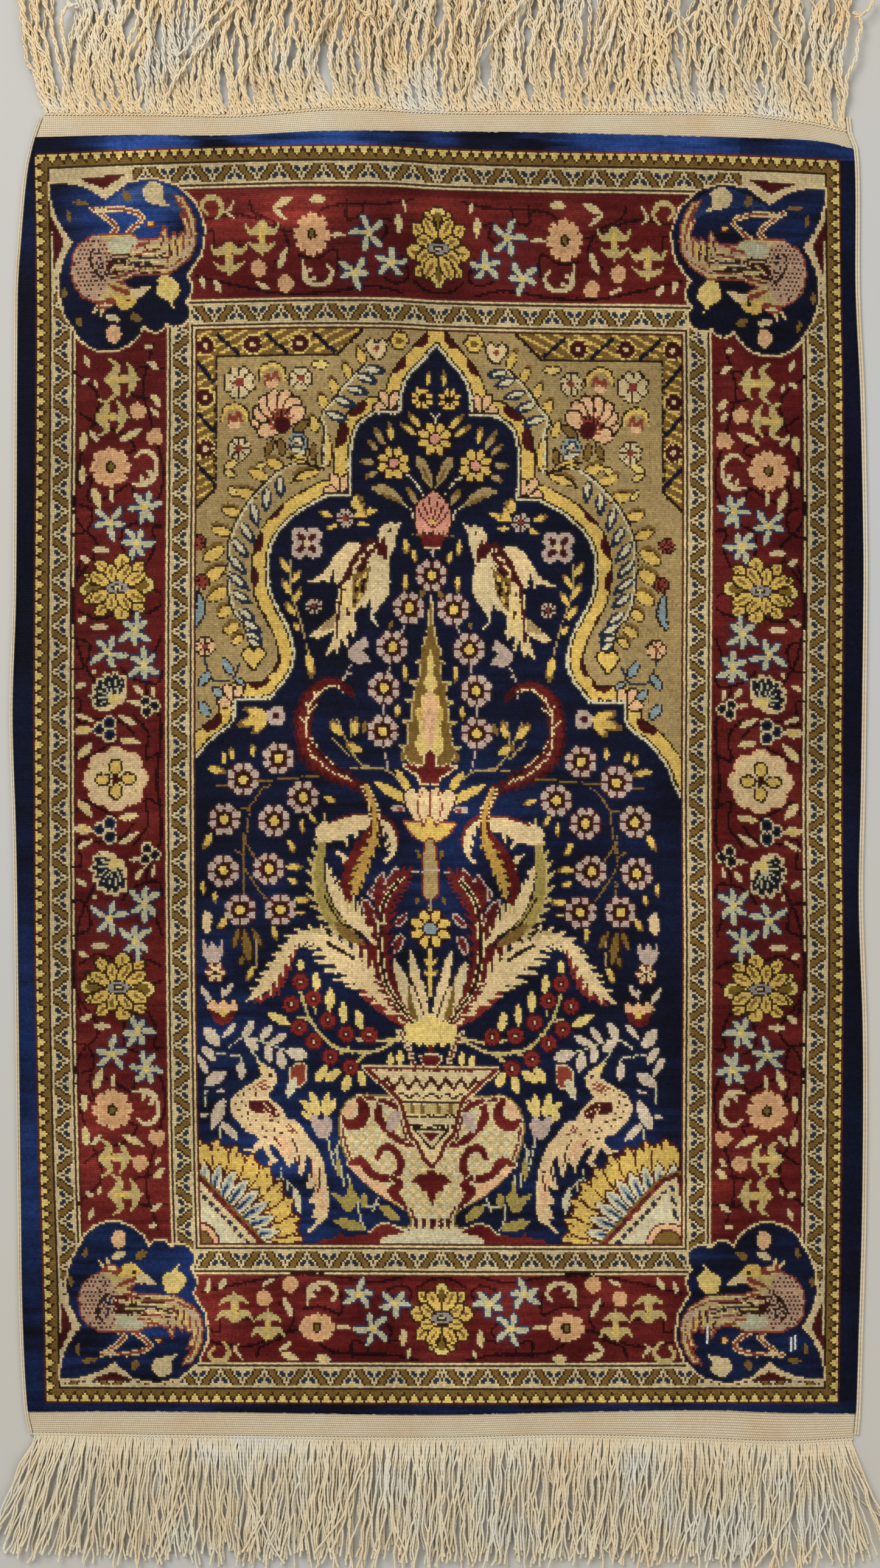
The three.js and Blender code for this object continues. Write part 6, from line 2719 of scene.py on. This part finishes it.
def add_yarn(tree, curve, given):
    """Puts the yarn group into a tree, then realizes it and gives it its material."""
    values = {"Curve": curve, **{row[0]: given[row[0]] for row in YARN_INPUTS[:-1]}}
    yarn = put(tree, "GeometryNodeGroup", values, node_tree=YARN)
    real = put(tree, "GeometryNodeRealizeInstances", (yarn.outputs[0],))
    inputs = {"Geometry": real.outputs[0], "Material": given["Material"]}
    return put(tree, "GeometryNodeSetMaterial", inputs).outputs[0]


def laid_cord_tree():
    """A cord laid along a path, plied or wrapped: its wraps swell it at an even pitch."""
    inputs = (
        ("Geometry", GEOMETRY, None),
        ("Step", FLOAT, 0.5 * MM),
        ("Wrap", FLOAT, 1.2 * MM),
        ("Swelling", FLOAT, 0.1),
        *YARN_INPUTS,
    )
    tree, given, out = new_group("laid cord", "GeometryNodeTree", inputs, (("Geometry", GEOMETRY),))
    path = put(tree, "GeometryNodeMeshToCurve", (given["Geometry"],))
    steps = {"Curve": path.outputs[0], "Length": given["Step"]}
    fine = put(tree, "GeometryNodeResampleCurve", steps, mode="LENGTH")
    along = put(tree, "GeometryNodeSplineParameter").outputs["Length"]
    turned = maths(tree, "MULTIPLY", maths(tree, "DIVIDE", along, given["Wrap"]), math.tau)
    wave = maths(tree, "COSINE", turned)
    swell = maths(tree, "ADD", 1.0, maths(tree, "MULTIPLY", wave, given["Swelling"]))
    curve = keep(tree, fine.outputs[0], "swell", swell)
    tree.links.new(add_yarn(tree, curve, given), out["Geometry"])
    return tree


def fringe_tree():
    """Strands that hang from a path and lie down on the floor, each leaning and waving by chance."""
    inputs = (
        ("Geometry", GEOMETRY, None),
        ("Strands", INTEGER, 200),
        ("Steps", INTEGER, 40),
        ("Outward", FLOAT, 1.0),
        ("Length", FLOAT, 0.06),
        ("Length Spread", FLOAT, 0.1),
        ("Lean", FLOAT, 0.0),
        ("Lean Drift", FLOAT, 0.3),
        ("Lean Patches", FLOAT, 25.0),
        ("Lean Spread", FLOAT, 0.1),
        ("Swing", FLOAT, 0.0),
        ("Swing Drift", FLOAT, 0.3),
        ("Swing Patches", FLOAT, 60.0),
        ("Swing Spread", FLOAT, 0.3),
        ("Splay", FLOAT, 0.3),
        ("Half Width", FLOAT, 0.2),
        ("Crimp", FLOAT, 1.0 * MM),
        ("Crimps", FLOAT, 120.0),
        ("Curl", FLOAT, 4 * MM),
        ("Curl Lean", FLOAT, 0.0),
        ("Loop", FLOAT, 3 * MM),
        ("Loop Share", FLOAT, 0.05),
        ("Lift", FLOAT, 1.5 * MM),
        ("Stray Share", FLOAT, 0.05),
        ("Stray Lean", FLOAT, 0.8),
        ("Tip", FLOAT, 0.3),
        ("Seed", INTEGER, 1),
        *YARN_INPUTS,
    )
    tree, given, out = new_group("fringe", "GeometryNodeTree", inputs, (("Geometry", GEOMETRY),))

    def times(*values):
        found = values[0]
        for value in values[1:]:
            found = maths(tree, "MULTIPLY", found, value)
        return found

    def plus(*values):
        found = values[0]
        for value in values[1:]:
            found = maths(tree, "ADD", found, value)
        return found

    def wander(place, w, detail=1.0):
        inputs = {"Vector": place, "W": w, "Scale": 1.0, "Detail": detail}
        noise = put(tree, "ShaderNodeTexNoise", inputs, noise_dimensions="4D").outputs[0]
        return times(maths(tree, "SUBTRACT", noise, 0.5), 2.6)

    path = put(tree, "GeometryNodeMeshToCurve", (given["Geometry"],))
    roots = put(
        tree, "GeometryNodeCurveToPoints", (path.outputs[0], given["Strands"]), mode="COUNT",
    ).outputs[0]
    place = put(tree, "GeometryNodeInputPosition").outputs[0]
    seeds = [plus(times(given["Seed"], 10.0), float(k)) for k in range(13)]
    stray = maths(tree, "LESS_THAN", chance_between(tree, 0.0, 1.0, seeds[0]), given["Stray Share"])
    root_x = apart(tree, place)[0]
    patches = wander(together(tree, times(root_x, given["Lean Patches"]), 0.0, 0.0), given["Seed"], 2.0)
    bundles = wander(together(tree, times(root_x, given["Swing Patches"]), 5.0, 0.0), given["Seed"], 2.0)
    looped = maths(tree, "LESS_THAN", chance_between(tree, 0.0, 1.0, seeds[8]), given["Loop Share"])
    outer = maths(tree, "DIVIDE", root_x, given["Half Width"])
    splay = times(maths(tree, "POWER", maths(tree, "ABSOLUTE", outer), 9.0), outer, given["Splay"])
    lean = plus(
        given["Lean"],
        times(patches, given["Lean Drift"]),
        times(chance_between(tree, -1.0, 1.0, seeds[1]), given["Lean Spread"]),
        times(stray, chance_between(tree, -1.0, 1.0, seeds[2]), given["Stray Lean"]),
        splay,
    )
    reach = times(
        given["Length"],
        plus(1.0, times(chance_between(tree, -1.0, 0.4, seeds[3]), given["Length Spread"])),
    )
    roots = keep(tree, roots, "root", place, "FLOAT_VECTOR")
    roots = keep(tree, roots, "lean", lean)
    roots = keep(tree, roots, "reach", reach)
    roots = keep(tree, roots, "phase", chance_between(tree, 0.0, 300.0, seeds[4]))
    roots = keep(tree, roots, "tone", chance_between(tree, 0.0, 1.0, seeds[5]))
    own = times(chance_between(tree, -1.0, 1.0, seeds[12]), given["Swing Spread"])
    bend = times(
        plus(chance_between(tree, -1.0, 1.0, seeds[6]), given["Curl Lean"]), plus(1.0, times(stray, 2.6)),
    )
    roots = keep(tree, roots, "bend", bend)
    roots = keep(tree, roots, "swing", plus(given["Swing"], times(bundles, given["Swing Drift"]), own))
    roots = keep(
        tree, roots, "loop", times(looped, given["Loop"], chance_between(tree, 0.7, 1.2, seeds[9])),
    )
    roots = keep(tree, roots, "loop from", chance_between(tree, 0.25, 0.8, seeds[10]))
    roots = keep(tree, roots, "loop side", maths(tree, "SIGN", chance_between(tree, -1.0, 1.0, seeds[11])))
    roots = keep(tree, roots, "height", plus(times(stray, 0.5), chance_between(tree, 0.0, 1.0, seeds[7])))
    line = put(tree, "GeometryNodeCurvePrimitiveLine", ((0, 0, 0), (0, 0, MM)))
    line = put(tree, "GeometryNodeResampleCurve", (line.outputs[0], None, given["Steps"]), mode="COUNT")
    strands = put(tree, "GeometryNodeInstanceOnPoints", {"Points": roots, "Instance": line.outputs[0]})
    strands = put(tree, "GeometryNodeRealizeInstances", (strands.outputs[0],)).outputs[0]

    t = put(tree, "GeometryNodeSplineParameter").outputs["Factor"]
    s = times(t, named(tree, "reach"))
    phase = named(tree, "phase")
    ramp = remap(tree, t, 0.0, 0.2, 0.0, 1.0)
    waves = together(tree, times(s, given["Crimps"]), 0.0, 0.0)
    side_wave = times(wander(waves, phase), given["Crimp"], ramp)
    up_wave = wander(waves, plus(phase, 50.0))
    slow = together(tree, times(s, given["Crimps"], 0.3), 0.0, 0.0)
    slow_wave = times(wander(slow, plus(phase, 90.0)), given["Crimp"], 2.4, ramp)
    bend = times(named(tree, "bend"), given["Curl"], t, t)
    slope = named(tree, "lean")
    cosine = maths(tree, "POWER", plus(1.0, times(slope, slope)), -0.5)
    still = maths(tree, "SUBTRACT", 1.0, t)
    swung = maths(tree, "SUBTRACT", 1.0, times(still, still, still, still))
    swung = times(named(tree, "swing"), swung, named(tree, "reach"), 0.25)
    since = maths(tree, "SUBTRACT", t, named(tree, "loop from"))
    begun = maths(tree, "MAXIMUM", maths(tree, "DIVIDE", since, 0.25), 0.0)
    turn = times(maths(tree, "MINIMUM", begun, 1.0), math.tau)
    aside = maths(tree, "SUBTRACT", 1.0, maths(tree, "COSINE", turn))
    loop_over = times(named(tree, "loop"), aside, named(tree, "loop side"))
    loop_on = times(named(tree, "loop"), maths(tree, "SINE", turn))
    x = plus(times(s, slope, cosine), side_wave, slow_wave, bend, swung, loop_over)
    y = times(plus(times(s, cosine), loop_on), given["Outward"])
    root = apart(tree, named(tree, "root", "FLOAT_VECTOR"))
    lying = plus(
        times(given["Ply Width"], 1.1),
        times(named(tree, "height"), given["Lift"], ramp),
        times(plus(up_wave, 0.6), given["Lift"], 0.3, ramp),
    )
    falling = maths(tree, "POWER", maths(tree, "SUBTRACT", 1.0, t), 6.0)
    z = plus(times(root[2], falling), times(lying, maths(tree, "SUBTRACT", 1.0, falling)))
    z = maths(tree, "MAXIMUM", z, times(given["Ply Width"], 1.0))
    placed = together(tree, plus(root[0], x), plus(root[1], y), z)
    strands = put(tree, "GeometryNodeSetPosition", {"Geometry": strands, "Position": placed}).outputs[0]
    uneven_width = times(wander(waves, plus(phase, 20.0)), 0.12)
    swell = plus(1.0, uneven_width, times(remap(tree, t, 0.95, 0.98, 0.0, 1.0), given["Tip"]))
    strands = keep(tree, strands, "swell", swell)
    tree.links.new(add_yarn(tree, strands, given), out["Geometry"])
    return tree


def grown_piece(name, paths, tree, values, node):
    """Runs a tree on paths of points and keeps what it makes as a plain mesh."""
    points = np.concatenate(paths)
    edges, first = [], 0
    for path in paths:
        edges += [(first + i, first + i + 1) for i in range(len(path) - 1)]
        first += len(path)
    mesh = bpy.data.meshes.new(name)
    mesh.from_pydata(points.tolist(), edges, [])
    piece = add_object(name, mesh)
    modifier = piece.modifiers.new("grow", "NODES")
    modifier.node_group = tree
    for item in tree.interface.items_tree:
        if item.in_out == "INPUT" and item.name in values:
            modifier[item.identifier] = values[item.name]
    evaluated = piece.evaluated_get(bpy.context.evaluated_depsgraph_get())
    made = bpy.data.meshes.new_from_object(evaluated)
    piece.modifiers.clear()
    piece.data = made
    made.name = name
    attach(piece, "root")
    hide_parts(node)


PATH_POINTS = 90
CORD_RUN = (-326.5, 323.5)  # where the side cords begin and end, in millimetres as the outline's tables
CORD_RISE, CORD_OFF = 1.15 * MM, 0.3  # their middle line's height, and how far off the edge they lie in mm
CORD_THICK = 1.7  # in millimetres


def side_path(table, off, high):
    """A path along a side, off its edge by so many millimetres."""
    y = np.linspace(*CORD_RUN, PATH_POINTS)
    x = smooth_table(table, y) + off
    return np.column_stack([*metres(x, y), np.full(len(y), high)])


def end_path(table, off, high, inset=0.0):
    """A path along a flat-woven end's outer edge."""
    share = np.linspace(inset, 1 - inset, PATH_POINTS)
    x, y = end_places(share, np.ones(PATH_POINTS), table)
    return np.column_stack([*metres(x, y + off), np.full(len(x), high)])


def side_cords(tree, material):
    """Two thin overcast cords, side by side, along each side."""
    for side, table, node in (
        ("left", LEFT_SIDE, "selvedge_left"), ("right", RIGHT_SIDE, "selvedge_right"),
    ):
        out = -1 if side == "left" else 1
        width = CORD_WIDTHS[side] / MM
        paths = [side_path(table, out * (CORD_OFF + width * share), CORD_RISE) for share in (0.25, 0.75)]
        values = {
            "Step": 0.9 * MM,
            "Wrap": 2.7 * MM,
            "Swelling": 0.1,
            "Ply Width": width / 2 * MM,
            "Flatness": CORD_THICK / (width / 2),
            "Two Plies": False,
            "Twist": 0.0,
            "Sides": 6,
            "Material": material,
        }
        grown_piece(f"side_cord_{side}", paths, tree, values, node)


# What all the strands have in common, and what is each layer's own
STRANDS = {
    "Seed": 3,
    "Steps": 50,
    "Outward": 1.0,
    "Length": 72 * MM,
    "Length Spread": 0.12,
    "Lean": 0.02,
    "Lean Drift": 0.12,
    "Lean Patches": 26.0,
    "Lean Spread": 0.12,
    "Swing": -0.4,
    "Swing Drift": 0.4,
    "Swing Patches": 50.0,
    "Swing Spread": 0.3,
    "Splay": 0.08,
    "Crimp": 2.5 * MM,
    "Crimps": 95.0,
    "Curl": 7 * MM,
    "Curl Lean": 0.3,
    "Loop": 0.0,
    "Loop Share": 0.0,
    "Lift": 2.0 * MM,
    "Stray Share": 0.03,
    "Stray Lean": 0.3,
    "Tip": 0.2,
    "Ply Width": 1.2 * MM,
    "Looseness": 1.0,
    "Two Plies": True,
    "Twist": 105.0,
    "Sides": 3,
}
LAYERS = {
    "strands_top_under": {"Strands": 190, "Ply Width": 1.3 * MM},
    "strands_top": {
        "Strands": 150,
        "Seed": 8,
        "Lean": 0.05,
        "Lean Spread": 0.18,
        "Swing": -0.3,
        "Swing Drift": 0.6,
        "Swing Spread": 0.5,
        "Crimp": 3.0 * MM,
        "Crimps": 80.0,
        "Curl": 12 * MM,
        "Loop": 4.0 * MM,
        "Loop Share": 0.1,
        "Lift": 4.4 * MM,
        "Stray Share": 0.16,
        "Sides": 4,
    },
    "strands_bottom_under": {
        "Strands": 230,
        "Seed": 9,
        "Steps": 20,
        "Outward": -1.0,
        "Length": 58 * MM,
        "Lean": -0.06,
        "Lean Drift": 0.08,
        "Lean Spread": 0.12,
        "Swing": 0.0,
        "Swing Drift": 0.1,
        "Splay": 0.4,
        "Crimp": 1.3 * MM,
        "Crimps": 70.0,
        "Lift": 0.8 * MM,
        "Ply Width": 1.3 * MM,
        "Two Plies": False,
        "Twist": 0.0,
    },
    "strands_bottom": {
        "Strands": 440,
        "Seed": 5,
        "Steps": 27,
        "Outward": -1.0,
        "Length": 61 * MM,
        "Lean": -0.06,
        "Lean Drift": 0.1,
        "Lean Patches": 14.0,
        "Lean Spread": 0.07,
        "Swing": 0.0,
        "Swing Drift": 0.12,
        "Swing Patches": 45.0,
        "Swing Spread": 0.1,
        "Splay": 0.4,
        "Crimp": 1.6 * MM,
        "Crimps": 105.0,
        "Curl": 9 * MM,
        "Curl Lean": 0.0,
        "Lift": 3.2 * MM,
        "Stray Share": 0.04,
        "Stray Lean": 0.2,
        "Tip": 0.35,
        "Ply Width": 1.08 * MM,
        "Two Plies": False,
        "Twist": 0.0,
        "Sides": 4,
    },
}


# The heading's middle line and the strands' roots: how far in from the heading's middle and outer edge,
# in millimetres, how high, and the share of the width that stays free at each end
HEADING_IN, HEADING_RISE = 0.4, 1.05 * MM
ROOTS_IN, ROOTS_RISE, ROOTS_FREE = 0.9, 0.9 * MM, 0.003


def heading_and_fringe(end, table, out, cord_tree, strand_tree, material):
    """The twined cord that closes an end, and the strands that hang from it."""
    node = f"fringe_{end}"
    values = {
        "Step": 0.55 * MM,
        "Swelling": 0.0,
        "Ply Width": 0.8 * MM,
        "Two Plies": True,
        "Twist": 1 / (3.6 * MM),
        "Sides": 6,
        "Material": material,
    }
    path = end_path(table, out * (HEADING_WIDE / MM / 2 - HEADING_IN), HEADING_RISE)
    grown_piece(f"heading_{end}", [path], cord_tree, values, node)
    roots = end_path(table, out * (HEADING_WIDE / MM - ROOTS_IN), ROOTS_RISE, ROOTS_FREE)
    for name, layer in LAYERS.items():
        if end in name:
            values = {**STRANDS, **layer, "Half Width": float(roots[:, 0].max()), "Material": material}
            grown_piece(name, [roots], strand_tree, values, node)


# The floor, the light and the camera


FLOOR_COOL, FLOOR_WARM = (0.75, 0.75, 0.745), (0.77, 0.745, 0.69)
FLOOR_LOW = -0.1 * MM
FLOOR_HALF = 6.0
# Soft boxes: name, place, size and power
SOFT_BOXES = (
    ("key", (-0.75, 0.95, 1.6), 1.1, 26.0),
    ("fill", (1.1, -0.5, 1.5), 1.6, 9.0),
)
SKY_COLOUR, SKY_STRENGTH = (0.93, 0.96, 1.0, 1.0), 0.42
# The photograph's height on the pile, its middle in millimetres as the outline's tables, and the lens
PHOTO_HIGH = 772.8 * MM
PHOTO_MIDDLE = (0.15, -5.55)
LENS, SENSOR = 50, 36


def lay_floor():
    """A plain pale floor, cooler and warmer in patches."""
    material, tree, shader = new_material("pale floor", specular=0.2)
    tones = handling(tree, 1.6, 300.0)
    patches = remap(tree, tones["Tone"], 0.35, 0.65, 0, 1)
    colour = mixed(tree, patches, paint(FLOOR_COOL), paint(FLOOR_WARM))
    roughness = remap(tree, tones["Specks"], 0.3, 0.7, 0.75, 0.85)
    finish_material(tree, shader, colour, roughness, tones["Specks"], 0.02 * MM)
    corners = [(x * FLOOR_HALF, y * FLOOR_HALF, FLOOR_LOW) for x, y in ((-1, -1), (1, -1), (1, 1), (-1, 1))]
    mesh = bpy.data.meshes.new("floor")
    mesh.from_pydata(corners, [], [(0, 1, 2, 3)])
    mesh.materials.append(material)
    add_object("floor", mesh)


def light_studio():
    """Two soft boxes that face the carpet, and a pale sky."""
    for name, place, size, power in SOFT_BOXES:
        light = bpy.data.lights.new(name, "AREA")
        light.size = size
        light.energy = power
        box = add_object(name, light)
        box.location = place
        box.rotation_euler = (-Vector(place)).to_track_quat("-Z", "Y").to_euler()
    world = bpy.data.worlds.new("studio")
    world.use_nodes = True
    sky = world.node_tree.nodes["Background"]
    sky.inputs["Color"].default_value = SKY_COLOUR
    sky.inputs["Strength"].default_value = SKY_STRENGTH
    bpy.context.scene.world = world
    bpy.context.scene.view_settings.view_transform = "Standard"


def set_camera():
    """Straight above the carpet, with the photograph's frame on the pile."""
    data = bpy.data.cameras.new("camera")
    data.lens, data.sensor_width = LENS, SENSOR
    camera = add_object("camera", data)
    camera.location = (*metres(*PHOTO_MIDDLE), PILE_HIGH + PHOTO_HIGH * LENS / SENSOR)
    bpy.context.scene.camera = camera


set_camera()
lay_floor()
light_studio()
knot_pile(silk_pile())
kilim = flat_weave()
kilim_end("kilim_top", UPPER_END, kilim)
kilim_end("kilim_bottom", LOWER_END, kilim)
cord_tree, strand_tree = laid_cord_tree(), fringe_tree()
side_cords(cord_tree, plied_silk("overcast silk", CORD_COLOURS, 0.0, 0.05 * MM))
for end, table, out in (("top", UPPER_END, 1), ("bottom", LOWER_END, -1)):
    yarn = plied_silk(f"plied silk {end}", FRINGE_COLOURS[end], 260.0, 0.08 * MM)
    heading_and_fringe(end, table, out, cord_tree, strand_tree, yarn)
